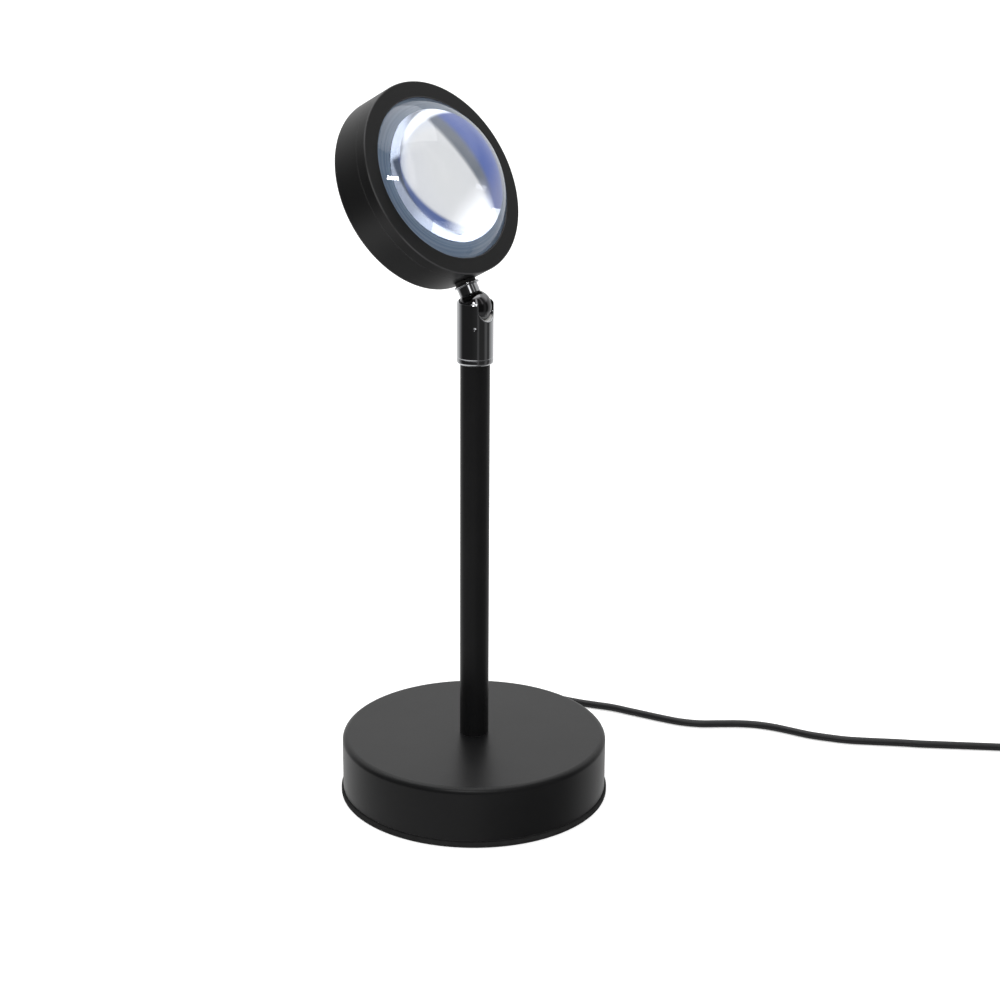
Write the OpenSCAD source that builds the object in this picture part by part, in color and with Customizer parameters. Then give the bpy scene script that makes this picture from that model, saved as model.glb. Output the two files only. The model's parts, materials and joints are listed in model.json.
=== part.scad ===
// Sunset projection lamp: a weighted round base, a straight stem, a slotted ball knuckle and a drum head
// with a domed lens. Millimetres. The origin is the centre of the base on the table, +Z is up and the lens
// faces -Y, leaning back as far as the knuckle lets it.

/* [Base] */
// Diameter of the round base cover
base_d = 101.4; // [96:0.2:130]
// Height of the base's top face above the table
base_h = 23.5; // [23:0.5:32]
// Sheet thickness of the base cover
base_wall = 1.2; // [1:0.1:1.6]
// Radius of the base cover's top edge
base_edge_r = 2.2; // [1.6:0.1:3]
// Thickness of the foam foot pad
pad_t = 2.3; // [1.5:0.1:2.8]
// How far the foot pad stands out past the cover
pad_lip = 0.7; // [0.3:0.1:1.5]
// Thickness of the steel bottom plate
plate_t = 1.5; // [1:0.1:1.8]
// Clearance between the cast ballast disc and the cover's wall
ballast_gap = 3.5; // [1:0.5:6]
// Thickness of the ballast disc
ballast_t = 6; // [4:0.5:6.5]

/* [Stem] */
// Outer diameter of the stem tube
stem_d = 11; // [10.6:0.1:11.2]
// Wall of the stem tube
stem_wall = 0.8; // [0.6:0.1:1]
// Length of the stem tube that stands on the base
stem_len = 150.5; // [80:0.5:300]

/* [Knuckle] */
// Outer diameter of the chrome sleeve
sleeve_d = 13.5; // [13.3:0.1:14]
// Diameter of the ball
ball_d = 12.2; // [12.1:0.1:12.2]
// Height of the ball's centre above the stem's end
ball_rise = 18; // [17:0.5:22]
// How far the sleeve reaches down over the stem
sleeve_overlap = 3; // [2.5:0.5:6]
// Height of the sleeve's rim above the ball's centre
rim_rise = 2.4; // [2.2:0.1:2.6]
// Diameter of the neck between the ball and the head
neck_d = 7.8; // [7.2:0.1:7.8]
// Diameter of the thin washer under the head
neck_washer_d = 9.5; // [9:0.5:12]
// Backward lean of the head when the neck is on the sleeve's rim
lean = 29.2; // [20:0.2:29.2]

/* [Head] */
// Outer diameter of the drum head
head_d = 74.1; // [72:0.1:90]
// Depth of the drum without the lens
head_depth = 17.5; // [17:0.5:24]
// Distance from the head's back face to the neck's axis
neck_from_back = 8.3; // [8:0.1:9]
// Distance from the ball's centre to the drum's axis, less the drum's radius
neck_reach = 9.85; // [9.4:0.05:14]
// Wall of the rear housing
head_wall = 1.4; // [1:0.1:1.6]
// Rounding of the housing's back edge
head_edge_r = 1.6; // [1:0.1:2]
// Visible depth of the front bezel ring
bezel_depth = 4.6; // [4:0.1:6]
// Diameter of the opening in the bezel
opening_d = 61.6; // [56:0.1:61.8]
// Thickness of the bezel's front lip
lip_t = 1.6; // [1.2:0.1:2]
// Height of the lens's dome in front of the bezel
dome_rise = 15.4; // [10:0.1:20]

/* [Cord] */
// Diameter of the supply cord
cord_d = 3; // [2.6:0.1:3.2]
// Height of the cord's hole in the base
cord_z = 7.5; // [7.4:0.1:8]
// Length of the rubber bush outside the base
bush_len = 14; // [10:1:20]
// Turns of the stored coil, a multiple of its four layers
coil_turns = 12; // [4:4:12]
// Radius of the coil at the middle of its turns
coil_mid_r = 16; // [15:0.5:20]
// Gap between neighbouring turns
turn_gap = 0.5; // [0.45:0.05:1]

/* [Hidden] */
$fn = 96;
eps = 0.01;

// Clearances
fit_gap = 0.05;      // pieces that are pushed or screwed together
run_gap = 0.08;      // a piece that turns on another
seat_gap = 0.1;      // the ball in its seat, and washers that turn
ease_gap = 0.3;      // parts that only lie near each other

// Base: heights from the table up
base_r = base_d/2;
inner_r = base_r - base_wall;
plate_z = pad_t + plate_t;
roof_z = base_h - base_wall;
ballast_z = roof_z - ballast_t;
ballast_r = inner_r - ballast_gap;
washer_t = 1;
nut_t = 4;
nut_flats = 14;
nut_z = ballast_z - washer_t - nut_t;
tube_bore_r = stem_d/2 - stem_wall;
nipple_r = tube_bore_r - fit_gap;
nipple_bore_r = 3;
nipple_z0 = nut_z - 0.8;
nipple_z1 = base_h + 16;
boss_r = 4.5;
screw_ring_r = ballast_r - 2*boss_r - 1;
screw_r = 1.95;
screw_head_r = 3.4;
screw_len = 7;
screw_top_z = plate_z + screw_len;
screw_slot = [4, 0.7, 0.8];

// The cord leaves the base halfway between the right side and the back
exit_angle = 45;
lead_r = cord_d/2;
lead_bend_r = 4.5;
lead_top_z = base_h - 3.5;
wire_r = 0.65;
wire_gap = 0.1;
bush_neck_r = lead_r + 1.4;
bush_inner_collar_r = 3.5;
bush_collar_r = 4.2;
bush_collar_t = 1.4;
bush_root_r = 3.4;
bush_tip_r = lead_r + 0.8;
bush_end = base_r + bush_len;

// Knuckle
stem_top = base_h + stem_len;
ball_z = stem_top + ball_rise;
ball_r = ball_d/2;
neck_r = neck_d/2;
sleeve_r = sleeve_d/2;
sleeve_bore_r = ball_r + seat_gap;
sleeve_z0 = stem_top - sleeve_overlap;
rim_z = ball_z + rim_rise;
rim_r = neck_r/cos(lean) + rim_rise*tan(lean) + 0.15;    // the neck just rests on the rim
crimp_h = 1.4;
slot_w = neck_d + 0.6;
slot_drop = 0.2;                   // the slot's round end lies this much lower than the neck needs
bead_h = 2.3;
bead_groove = 0.25;
core_r = sleeve_bore_r - run_gap;
core_shank = 12;
core_top = ball_z - 5.8;
core_bore_r = 2.5;
core_cup_r = 4.4;
core_cup_depth = 5.2;
dimple_z = ball_z - 7.1;
dimple_angle = 219;
dimple_r = 0.6;
dimple_in = 0.5;                   // how far a dimple reaches into the groove
groove_depth = 0.65;
spring_t = 0.6;
spring_z = core_top + seat_gap;
seat_z0 = spring_z + spring_t + seat_gap;
seat_h = 2.1;
seat_in_r = 4.5;
wire_bore_r = 1.5;
neck_washer_t = 0.8;
thread_r = 2.5;
thread_end = neck_reach + 4.1;
neck_len = neck_reach - 1.85;
head_nut_flats = 8;
head_nut_t = 1.8;
nut_seat_r = 5.2;

// Head, along the lens axis: 0 is the neck's axis, plus is forwards
head_r = head_d/2;
head_arm = neck_reach + head_r;
nut_s = neck_reach + head_wall + 0.55;       // the flat that the neck's nut seats on
front_z = head_depth - neck_from_back;
back_z = -neck_from_back;
floor_z = back_z + head_wall;
bezel_z = front_z - bezel_depth;
housing_in_r = head_r - head_wall;
spigot_r = housing_in_r - fit_gap;
spigot_len = 5.2;
spigot_z = bezel_z - spigot_len;
lens_bore_r = spigot_r - 3;
opening_r = opening_d/2;
dome_base_r = opening_r - 0.2;
dome_r = (dome_base_r*dome_base_r + dome_rise*dome_rise)/(2*dome_rise);
lens_edge_r = lens_bore_r - 0.15;
lens_edge_t = 2.4;
lens_seat_z = front_z - lip_t;
lens_back_z = lens_seat_z - lens_edge_t;
gasket_t = 1;
gasket_in_r = 0.7*opening_r;
filter_t = 1;
filter_z = lens_back_z - gasket_t - filter_t;
ring_t = 1;
ring_in_r = lens_edge_r - 2.4;
ring_z = filter_z - ring_t;
sink_r = 24;
sink_t = 2.2;
sink_z = floor_z;
board_r = 14;
board_t = 1.4;
board_z = sink_z + sink_t;
emitter_side = 5;
emitter_t = 1.4;
emitter_z = board_z + board_t;
cup_z0 = emitter_z;
cup_z1 = ring_z - 0.2;
cup_mouth_r = 26;
cup_foot_r = 6.5;
cup_foot_t = 0.7;
cup_wall = 2;                      // measured across the lens axis
led_screw_ring_r = 10.5;
led_screw_r = 1.2;
led_head_r = 2.2;
led_head_t = 1.1;
driver_size = [8, 18, 1];
driver_x = housing_in_r - 6.4;     // the board's middle
post_r = 1.9;
post_y = 6.5;
driver_z = floor_z + 2.7;
driver_screw_r = 0.9;
driver_head_r = 1.7;
ir_size = [5, 4.2, 3.8];
head_wire_r = 0.65;
head_wire_turn_r = lens_bore_r - 3;

// Cord: the route's own points, chosen by hand, from the bush round behind the base and out to the coil
run_points = [[51, 51, 7], [56.5, 54.5, 5.7], [63, 56, 4.1], [69.5, 54.5, 2.7], [75, 50.5, 1.8],
    [79, 45, 1.5], [81.5, 38, 1.5], [83.5, 30.5, 1.5], [85, 23, 1.5], [87, 15, 1.5], [89.5, 8, 1.5],
    [92, 1, 1.5], [93.5, -6.5, 1.5], [95, -14, 1.5], [96.5, -21.5, 1.5], [98.5, -29, 1.5], [102, -36, 1.5],
    [107, -42, 1.5], [112.5, -48.5, 1.5], [116.5, -55, 1.5], [119, -62, 1.5], [120.5, -69.5, 1.5],
    [122, -77, 1.5], [124.5, -84, 1.5], [127.5, -91, 1.5], [131.5, -97.5, 1.5], [135.5, -103.5, 1.5],
    [139.5, -109.5, 1.5], [143.5, -116, 1.5], [148, -122.5, 1.5], [152.5, -129, 1.5], [157, -135.5, 1.5],
    [161.5, -142, 1.5], [165.5, -148.5, 1.6], [170, -155, 1.9], [174, -161, 2.3]];
// Coil: centre and the direction of its start seen from there
coil_centre = [197.5, -157.5];
coil_angle = 213;
coil_layers = 4;
coil_steps = 24;
strap_t = 0.8;
strap_w = 6;
strap_gap = 0.1;
// Distance along the tail and height of each of its points, from the coil's end to the plug
tail_points = [[6, 12.1], [12, 10], [18, 7.4], [24, 5.2], [29, 4.3]];
tail_len = 34;

// Plug
grip_size = [15.6, 8, 21];
grip_neck = 6;
grip_edge = 2;
shell_size = [12, 4.5, 12];
shell_wall = 0.35;
tongue_t = 1.8;
plug_z = grip_size.y/2;

turns_a_layer = coil_turns/coil_layers;
turn_pitch = cord_d + turn_gap;
coil_z = strap_t + strap_gap + lead_r;
coil_out_r = coil_mid_r + turns_a_layer*turn_pitch/2;
coil_in_r = coil_out_r - turns_a_layer*turn_pitch;
layer_pitch = turn_pitch;
heading = [-sin(coil_angle), cos(coil_angle), 0];
exit_way = [cos(exit_angle), sin(exit_angle), 0];
// A triangle wave of the turn count: 0 at the outside, 1 at the inside
function wave(u) = let (v = u/turns_a_layer, k = floor(v)) k % 2 == 0 ? v - k : 1 - v + k;
// Layer reached after u turns: a smooth step in the half turn round each reversal
function smooth(t) = let (s = max(0, min(1, t))) s*s*(3 - 2*s);
function layer(u) = let (k = round(u/turns_a_layer))
    k <= 0 ? 0 : k >= coil_layers ? coil_layers - 1 : k - 1 + smooth((u - k*turns_a_layer)/0.5 + 0.5);
function coil_at(u) = let (r = coil_out_r - (coil_out_r - coil_in_r)*wave(u), a = coil_angle + 360*u)
    [coil_centre.x + r*cos(a), coil_centre.y + r*sin(a), coil_z + layer_pitch*layer(u)];
coil_turn_points = [for (i = [0 : coil_turns*coil_steps]) coil_at(i/coil_steps)];
coil_first = coil_turn_points[0] - cord_d*heading;
coil_last = coil_turn_points[len(coil_turn_points) - 1] + cord_d*heading;
coil_points = concat([coil_first], coil_turn_points, [coil_last]);
run_first = bush_end*exit_way + [0, 0, cord_z];
run_path = concat([run_first], run_points, [coil_first]);
tail_path = concat([coil_last], [for (p = tail_points) [coil_last.x, coil_last.y, p[1]] + p[0]*heading],
    [[coil_last.x, coil_last.y, plug_z] + tail_len*heading]);
plug_at = [coil_last.x, coil_last.y, plug_z] + tail_len*heading;

function steps(p) = [for (i = [1 : len(p) - 1]) norm(p[i] - p[i-1])];
function path_length(p) = steps(p)*[for (s = steps(p)) 1];
// Least distance between points half a turn or more apart, less the cord's diameter
coil_gap = min([for (i = [0 : len(coil_points) - 1]) for (j = [i + coil_steps/2 : 1 : len(coil_points) - 1])
    norm(coil_points[i] - coil_points[j])]) - cord_d;
echo(coil_gap = coil_gap);
echo(cord_length = path_length(run_path) + path_length(coil_points) + path_length(tail_path));

// A tube swept along points: one ring of sides corners per point, square to the path, with flat ends
function unit(v) = v/norm(v);
function way_at(p, i, first, last) = i == 0 ? first : i == len(p) - 1 ? last
    : unit(unit(p[i+1] - p[i]) + unit(p[i] - p[i-1]));
function ring_at(c, way, r, sides) = let (side = unit(cross([0, 0, 1], way)), top = cross(way, side))
    [for (k = [0 : sides - 1]) let (a = 360*(k + 0.5)/sides) c + r*(cos(a)*side + sin(a)*top)];
module swept(p, r, sides, first, last) {
    rings = [for (i = [0 : len(p) - 1]) each ring_at(p[i], way_at(p, i, first, last), r, sides)];
    n = len(p);
    walls = [for (i = [0 : n - 2], k = [0 : sides - 1]) let (a = i*sides + k, b = i*sides + (k + 1) % sides)
        each [[a, a + sides, b], [b, a + sides, b + sides]]];
    near_end = [for (k = [1 : sides - 2]) [0, k, k + 1]];
    last_ring = (n - 1)*sides;
    far_end = [for (k = [1 : sides - 2]) [last_ring, last_ring + k + 1, last_ring + k]];
    polyhedron(points = rings, faces = concat(walls, near_end, far_end));
}

// A ring or disc from z0 to z1
module disc(r, z0, z1) { translate([0, 0, z0]) cylinder(r = r, h = z1 - z0); }
module ring(r_out, r_in, z0, z1) {
    difference() {
        disc(r_out, z0, z1);
        disc(r_in, z0 - eps, z1 + eps);
    }
}
// A hexagonal nut with a round bore
module hex_nut(flats, bore_r, z0, z1) {
    difference() {
        translate([0, 0, z0]) cylinder(r = flats/sqrt(3), h = z1 - z0, $fn = 6);
        disc(bore_r, z0 - 1, z1 + 1);
    }
}
// Half outline of a round can from 0 to h with its upper outer edge rounded
module can_outline(r, h, edge) {
    difference() {
        square([r, h]);
        translate([r - edge, h - edge]) difference() {
            square([edge + 1, edge + 1]);
            circle(r = edge);
        }
    }
}
// Turns a child so that its +Z points along the cord's exit, at the cord's height
module along_exit() {
    translate([0, 0, cord_z]) rotate([0, 90, exit_angle]) children();
}
module at_plate_screws() {
    for (k = [1, 3, 5]) rotate([0, 0, exit_angle + 60*k]) translate([screw_ring_r, 0, 0]) children();
}
// The head's own frame: the ball's centre is the origin and +Z is the neck's axis
module in_head() { translate([0, 0, ball_z]) rotate([-lean, 0, 0]) children(); }
// The drum's frame: +Z is the lens axis, forwards, and -Y is towards the ball
module in_drum() { in_head() translate([0, 0, head_arm]) rotate([90, 0, 0]) children(); }

module foot_pad() {
    edge = 0.4;
    color([0.09, 0.09, 0.09])
        rotate_extrude() polygon([[0, 0], [base_r + pad_lip - edge, 0], [base_r + pad_lip, edge],
            [base_r + pad_lip, pad_t - edge], [base_r + pad_lip - edge, pad_t], [0, pad_t]]);
}
module bottom_plate() {
    color([0.55, 0.56, 0.58]) difference() {
        disc(inner_r - ease_gap, pad_t, plate_z);
        at_plate_screws() translate([0, 0, pad_t - eps])
            cylinder(r1 = screw_head_r + 0.2, r2 = screw_r + 0.2, h = plate_t + 2*eps);
    }
}
module plate_screws() {
    color([0.7, 0.7, 0.72]) at_plate_screws() difference() {
        union() {
            translate([0, 0, pad_t + 0.1]) cylinder(r1 = screw_head_r, r2 = screw_r, h = plate_t - 0.1);
            disc(screw_r, plate_z - eps, screw_top_z);
        }
        translate([-screw_slot.x/2, -screw_slot.y/2, pad_t]) cube(screw_slot);
    }
}
module base_cover() {
    color([0.13, 0.13, 0.13]) difference() {
        translate([0, 0, pad_t]) rotate_extrude() difference() {
            can_outline(base_r, base_h - pad_t, base_edge_r);
            translate([-1, -1]) can_outline(inner_r + 1, roof_z - pad_t + 1, base_edge_r - base_wall);
        }
        disc(nipple_r + fit_gap, roof_z - 1, base_h + 1);
        along_exit() disc(bush_neck_r + fit_gap, inner_r - 4, base_r + 2);
    }
}
module ballast() {
    color([0.3, 0.3, 0.31]) difference() {
        union() {
            disc(ballast_r, ballast_z, roof_z);
            at_plate_screws() disc(boss_r, plate_z, ballast_z + eps);
        }
        disc(nipple_r + ease_gap, ballast_z - eps, roof_z + eps);
        at_plate_screws() disc(screw_r + fit_gap, plate_z - eps, screw_top_z + 1);
    }
}
module base_nipple() { color([0.72, 0.6, 0.3]) ring(nipple_r, nipple_bore_r, nipple_z0, nipple_z1); }
module base_washer() {
    teeth = 12;
    color([0.6, 0.61, 0.62]) difference() {
        disc(nut_flats/2 + 1, nut_z + nut_t, ballast_z);
        disc(nipple_r + 0.2, nut_z, roof_z);
        for (k = [0 : teeth - 1]) rotate([0, 0, k*360/teeth])
            translate([nut_flats/2 + 0.4, -0.4, nut_z]) cube([2, 0.8, roof_z - nut_z]);
    }
}
module base_nut() { color([0.68, 0.68, 0.66]) hex_nut(nut_flats, nipple_r + fit_gap, nut_z, nut_z + nut_t); }
module cord_bush() {
    collar_in = inner_r - 0.2;
    outside = base_r + fit_gap;
    color([0.07, 0.07, 0.07]) along_exit() difference() {
        union() {
            disc(bush_inner_collar_r, collar_in - bush_collar_t, collar_in);
            disc(bush_neck_r, collar_in - eps, outside + eps);
            disc(bush_collar_r, outside, outside + bush_collar_t);
            translate([0, 0, base_r + bush_collar_t])
                cylinder(r1 = bush_root_r, r2 = bush_tip_r, h = bush_len - bush_collar_t);
        }
        disc(lead_r + fit_gap, inner_r - 5, bush_end + 1);
        for (k = [0 : 2]) translate([0, 0, outside + bush_collar_t + 2 + 2.6*k])
            ring(bush_root_r + 1, bush_tip_r + 0.2, 0, 1);
    }
}
// The cord inside the base: along the channel, then up into the nipple
module base_lead() {
    color([0.1, 0.1, 0.1]) {
        along_exit() disc(lead_r, lead_bend_r, bush_end);
        rotate([0, 0, exit_angle]) translate([lead_bend_r, 0, cord_z + lead_bend_r]) rotate([90, 0, 0])
            rotate([0, 0, 180]) rotate_extrude(angle = 90) translate([lead_bend_r, 0]) circle(r = lead_r);
        disc(lead_r, cord_z + lead_bend_r, lead_top_z);
    }
}
module stem_tube() { color([0.12, 0.12, 0.12]) ring(stem_d/2, tube_bore_r, base_h, stem_top); }
module stem_wires() {
    color([0.75, 0.1, 0.1]) for (s = [-1, 1])
        translate([s*(wire_r + wire_gap/2), 0, 0]) disc(wire_r, lead_top_z, core_top - 0.6);
}
module core_bush() {
    color([0.72, 0.6, 0.3]) difference() {
        union() {
            disc(tube_bore_r - fit_gap, stem_top - core_shank, stem_top + eps);
            disc(core_r, stem_top, core_top);
        }
        disc(core_bore_r, stem_top - core_shank - 1, core_top + 1);
        disc(core_cup_r, core_top - core_cup_depth, core_top + 1);
        ring(core_r + 1, core_r - groove_depth, dimple_z - dimple_r - 0.15, dimple_z + dimple_r + 0.15);
    }
}

// The sleeve: a thin tube whose rim is crimped over the ball, with one slot that lets the neck fold down
module sleeve_outline() {
    top = rim_z - sleeve_z0;
    wall = sleeve_r - sleeve_bore_r;
    lip_r = stem_d/2 + run_gap;
    groove_r = sleeve_r - bead_groove;
    polygon([[lip_r, 0.4], [lip_r + 0.3, 0], [sleeve_r - 0.6, 0], [sleeve_r - 0.2, 0.25], [sleeve_r, 0.7],
        [sleeve_r, bead_h - 0.1], [groove_r, bead_h + 0.1], [groove_r, bead_h + 0.3],
        [sleeve_r, bead_h + 0.5], [sleeve_r, top - crimp_h], [sleeve_r - 0.1, top - crimp_h*0.6],
        [rim_r + wall*0.85, top - 0.15], [rim_r + wall*0.5, top], [rim_r, top - 0.1],
        [rim_r + (sleeve_bore_r - rim_r)*0.6, top - crimp_h*0.6], [sleeve_bore_r, top - crimp_h],
        [sleeve_bore_r, 1.2], [lip_r, 1.2]]);
}
module slot() {
    translate([0, 0, ball_z - slot_drop]) rotate([90, 0, 0]) disc(slot_w/2, 0, sleeve_r + 1);
    translate([-slot_w/2, -sleeve_r - 1, ball_z - slot_drop])
        cube([slot_w, sleeve_r + 1, rim_rise + slot_drop + 1]);
}
module at_dimples() {
    for (k = [0 : 2]) rotate([0, 0, dimple_angle + 120*k]) translate([0, 0, dimple_z]) children();
}
module knuckle_sleeve() {
    color([0.62, 0.63, 0.65]) difference() {
        union() {
            translate([0, 0, sleeve_z0]) rotate_extrude() sleeve_outline();
            at_dimples() rotate([0, 90, 0]) disc(dimple_r, sleeve_bore_r - dimple_in, sleeve_bore_r + eps);
        }
        slot();
        at_dimples() translate([sleeve_r + 0.32, 0, 0]) sphere(r = dimple_r, $fn = 24);
    }
}
module wave_washer() {
    color([0.5, 0.5, 0.52]) rotate_extrude() polygon([[seat_in_r, spring_z + 0.25], [core_r - 0.1, spring_z],
        [core_r - 0.1, spring_z + spring_t - 0.25], [seat_in_r, spring_z + spring_t]]);
}
module ball_seat() {
    color([0.9, 0.9, 0.86]) difference() {
        ring(sleeve_bore_r - fit_gap, seat_in_r, seat_z0, seat_z0 + seat_h);
        translate([0, 0, ball_z]) sphere(r = ball_r + seat_gap);
        slot();
    }
}
module ball_neck() {
    color([0.62, 0.63, 0.65]) in_head() difference() {
        union() {
            sphere(r = ball_r);
            disc(neck_r, 0, neck_len);
            disc(thread_r, neck_len - eps, thread_end);
        }
        disc(wire_bore_r, -ball_r - 1, thread_end + 1);
    }
}
module neck_washer() {
    color([0.62, 0.63, 0.65]) in_head()
        ring(neck_washer_d/2, thread_r + fit_gap, neck_len, neck_len + neck_washer_t);
}
// A pad that is flat on the washer and follows the drum's round side
module neck_pad() {
    color([0.06, 0.06, 0.06]) in_head() difference() {
        ring(neck_washer_d/2 - 0.9, thread_r + fit_gap, neck_len + neck_washer_t, neck_reach + 1);
        translate([0, 20, head_arm]) rotate([90, 0, 0]) cylinder(r = head_r + 0.02, h = 40, $fn = 180);
    }
}
module neck_nut() {
    color([0.72, 0.6, 0.3]) in_head() hex_nut(head_nut_flats, thread_r + fit_gap, nut_s, nut_s + head_nut_t);
}
module at_driver_posts() { for (s = [-1, 1]) translate([driver_x, s*post_y, 0]) children(); }
module rear_housing() {
    color([0.13, 0.13, 0.13]) in_drum() difference() {
        union() {
            difference() {
                translate([0, 0, bezel_z]) rotate([180, 0, 0]) rotate_extrude($fn = 180)
                    can_outline(head_r, bezel_z - back_z, head_edge_r);
                difference() {
                    disc(housing_in_r, floor_z, bezel_z + 1);
                    rotate([90, 0, 0]) disc(nut_seat_r, head_arm - nut_s, head_r);
                }
            }
            at_driver_posts() disc(post_r, floor_z - eps, driver_z);
        }
        rotate([90, 0, 0]) disc(thread_r + fit_gap, housing_in_r - 3, head_r + 2);
        at_driver_posts() disc(driver_screw_r + fit_gap, floor_z + 0.2, driver_z + 1);
        at_led_screws() disc(led_screw_r + fit_gap, floor_z - 0.8, floor_z + 1);
    }
}
module front_bezel() {
    edge = 0.5;
    notch = head_nut_flats/sqrt(3) + 1;
    color([0.14, 0.14, 0.14]) in_drum() difference() {
        rotate_extrude($fn = 180) polygon([[opening_r, front_z - 0.2], [opening_r + 0.2, front_z],
            [head_r - edge, front_z], [head_r - 0.15, front_z - 0.15], [head_r, front_z - edge],
            [head_r, bezel_z + 0.2], [head_r - 0.15, bezel_z + 0.05], [spigot_r, bezel_z + 0.05],
            [spigot_r, spigot_z], [lens_bore_r, spigot_z], [lens_bore_r, lens_seat_z],
            [opening_r, lens_seat_z]]);
        translate([-notch, -head_r, spigot_z - 1]) cube([2*notch, head_r - 30, bezel_z - spigot_z + 1]);
    }
}
module lens() {
    color([0.75, 0.85, 0.95, 0.5]) in_drum() {
        difference() {
            translate([0, 0, front_z + dome_rise - dome_r]) sphere(r = dome_r);
            disc(dome_r + 1, front_z - 2*dome_r, front_z);
        }
        disc(dome_base_r, lens_seat_z - 0.5, front_z + eps);
        disc(lens_edge_r, lens_back_z, lens_seat_z);
    }
}
module lens_gasket() {
    color([0.55, 0.62, 0.7]) in_drum() ring(lens_edge_r, gasket_in_r, filter_z + filter_t, lens_back_z);
}
module filter_disc() {
    color([0.95, 0.6, 0.25, 0.6]) in_drum() disc(lens_edge_r, filter_z, filter_z + filter_t);
}
module retaining_ring() {
    color([0.2, 0.2, 0.2]) in_drum() difference() {
        ring(lens_edge_r + 0.1, ring_in_r, ring_z, ring_z + ring_t);
        translate([-2, ring_in_r - 1, ring_z - 1]) cube([4, 6, ring_t + 2]);
    }
}
module reflector() {
    color([0.93, 0.93, 0.92]) in_drum() rotate_extrude() polygon([[cup_foot_r, cup_z0], [board_r, cup_z0],
        [board_r, cup_z0 + cup_foot_t], [cup_foot_r + cup_wall, cup_z0 + cup_foot_t],
        [cup_mouth_r + cup_wall, cup_z1], [cup_mouth_r, cup_z1], [cup_foot_r, cup_z0 + cup_foot_t]]);
}
module at_led_screws() { for (s = [-1, 1]) translate([s*led_screw_ring_r, 0, 0]) children(); }
module led_board() {
    color([0.9, 0.9, 0.88]) in_drum() difference() {
        disc(board_r, board_z, board_z + board_t);
        at_led_screws() {
            disc(led_screw_r + 0.1, board_z - 1, board_z + board_t + 1);
            translate([0, 0, board_z + board_t - led_head_t + eps])
                cylinder(r1 = led_screw_r, r2 = led_head_r + 0.1, h = led_head_t);
        }
    }
}
module led_emitter() {
    color([0.98, 0.9, 0.55]) in_drum() {
        translate([-emitter_side/2, -emitter_side/2, emitter_z])
            cube([emitter_side, emitter_side, emitter_t - 0.4]);
        disc(emitter_side/2 - 0.4, emitter_z + emitter_t - 0.4 - eps, emitter_z + emitter_t);
    }
}
module heat_sink() {
    fins = 9;
    color([0.75, 0.76, 0.78]) in_drum() difference() {
        disc(sink_r, sink_z, sink_z + sink_t);
        at_led_screws() disc(led_screw_r + fit_gap, sink_z - 1, sink_z + sink_t + 1);
        for (k = [0 : fins - 1]) rotate([0, 0, 20 + k*320/(fins - 1)])
            translate([board_r + 2, -0.8, sink_z + 1]) cube([sink_r, 1.6, sink_t]);
    }
}
module led_screws() {
    top = board_z + board_t - 0.05;
    color([0.7, 0.7, 0.72]) in_drum() at_led_screws() difference() {
        union() {
            disc(led_screw_r, floor_z - 0.6, top - 0.1);
            translate([0, 0, top - led_head_t])
                cylinder(r1 = led_screw_r - 0.1, r2 = led_head_r, h = led_head_t);
        }
        translate([-1.4, -0.25, top - 0.5]) cube([2.8, 0.5, 1]);
    }
}
module driver_board() {
    color([0.05, 0.3, 0.14]) in_drum() difference() {
        union() {
            translate([driver_x - driver_size.x/2, -driver_size.y/2, driver_z]) cube(driver_size);
            translate([driver_x - 3, -4.4, driver_z + driver_size.z - eps]) cube([4, 4, 1.4]);
            translate([driver_x + 1.8, -4.2, driver_z + driver_size.z - eps]) cube([1.2, 2, 0.8]);
        }
        at_driver_posts() disc(driver_screw_r + 0.1, driver_z - 1, driver_z + 4);
    }
}
module driver_screws() {
    top = driver_z + driver_size.z;
    color([0.7, 0.7, 0.72]) in_drum() at_driver_posts() {
        disc(driver_screw_r, floor_z + 0.4, top + eps);
        disc(driver_head_r, top, top + 0.9);
    }
}
module ir_receiver() {
    color([0.1, 0.08, 0.12]) in_drum()
        translate([driver_x - ir_size.x/2, 0.2, driver_z + driver_size.z]) {
            cube([ir_size.x, ir_size.y, ir_size.z - 1.2]);
            translate([ir_size.x/2, ir_size.y/2, ir_size.z - 1.2 - eps]) cylinder(r = 1.9, h = 1.2);
        }
}
// The head's wires: out of the neck's bore and round behind the bezel's spigot to the driver board
module head_wires() {
    z0 = driver_z + driver_size.z + head_wire_r + 0.05;
    start = [0, thread_end - head_arm - 1.5, 0];
    turn = [for (a = [-84 : 8 : -28])
        [head_wire_turn_r*cos(a), head_wire_turn_r*sin(a), z0*smooth((a + 84)/32)]];
    board_x = driver_x - driver_size.x/2 + 1;
    finish = [[board_x, -driver_size.y/2 - 1.5, z0], [board_x, -driver_size.y/2 + 1.6, z0]];
    color([0.75, 0.1, 0.1]) in_drum()
        swept(concat([start, start + [0, 1.6, 0]], turn, finish), head_wire_r, 8, [0, 1, 0], [0, 1, 0]);
}

module cord_run() { color([0.1, 0.1, 0.1]) swept(run_path, lead_r, 8, exit_way, heading); }
module cord_coil() { color([0.1, 0.1, 0.1]) swept(coil_points, lead_r, 6, heading, heading); }
module cord_tail() { color([0.1, 0.1, 0.1]) swept(tail_path, lead_r, 8, heading, heading); }
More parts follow.
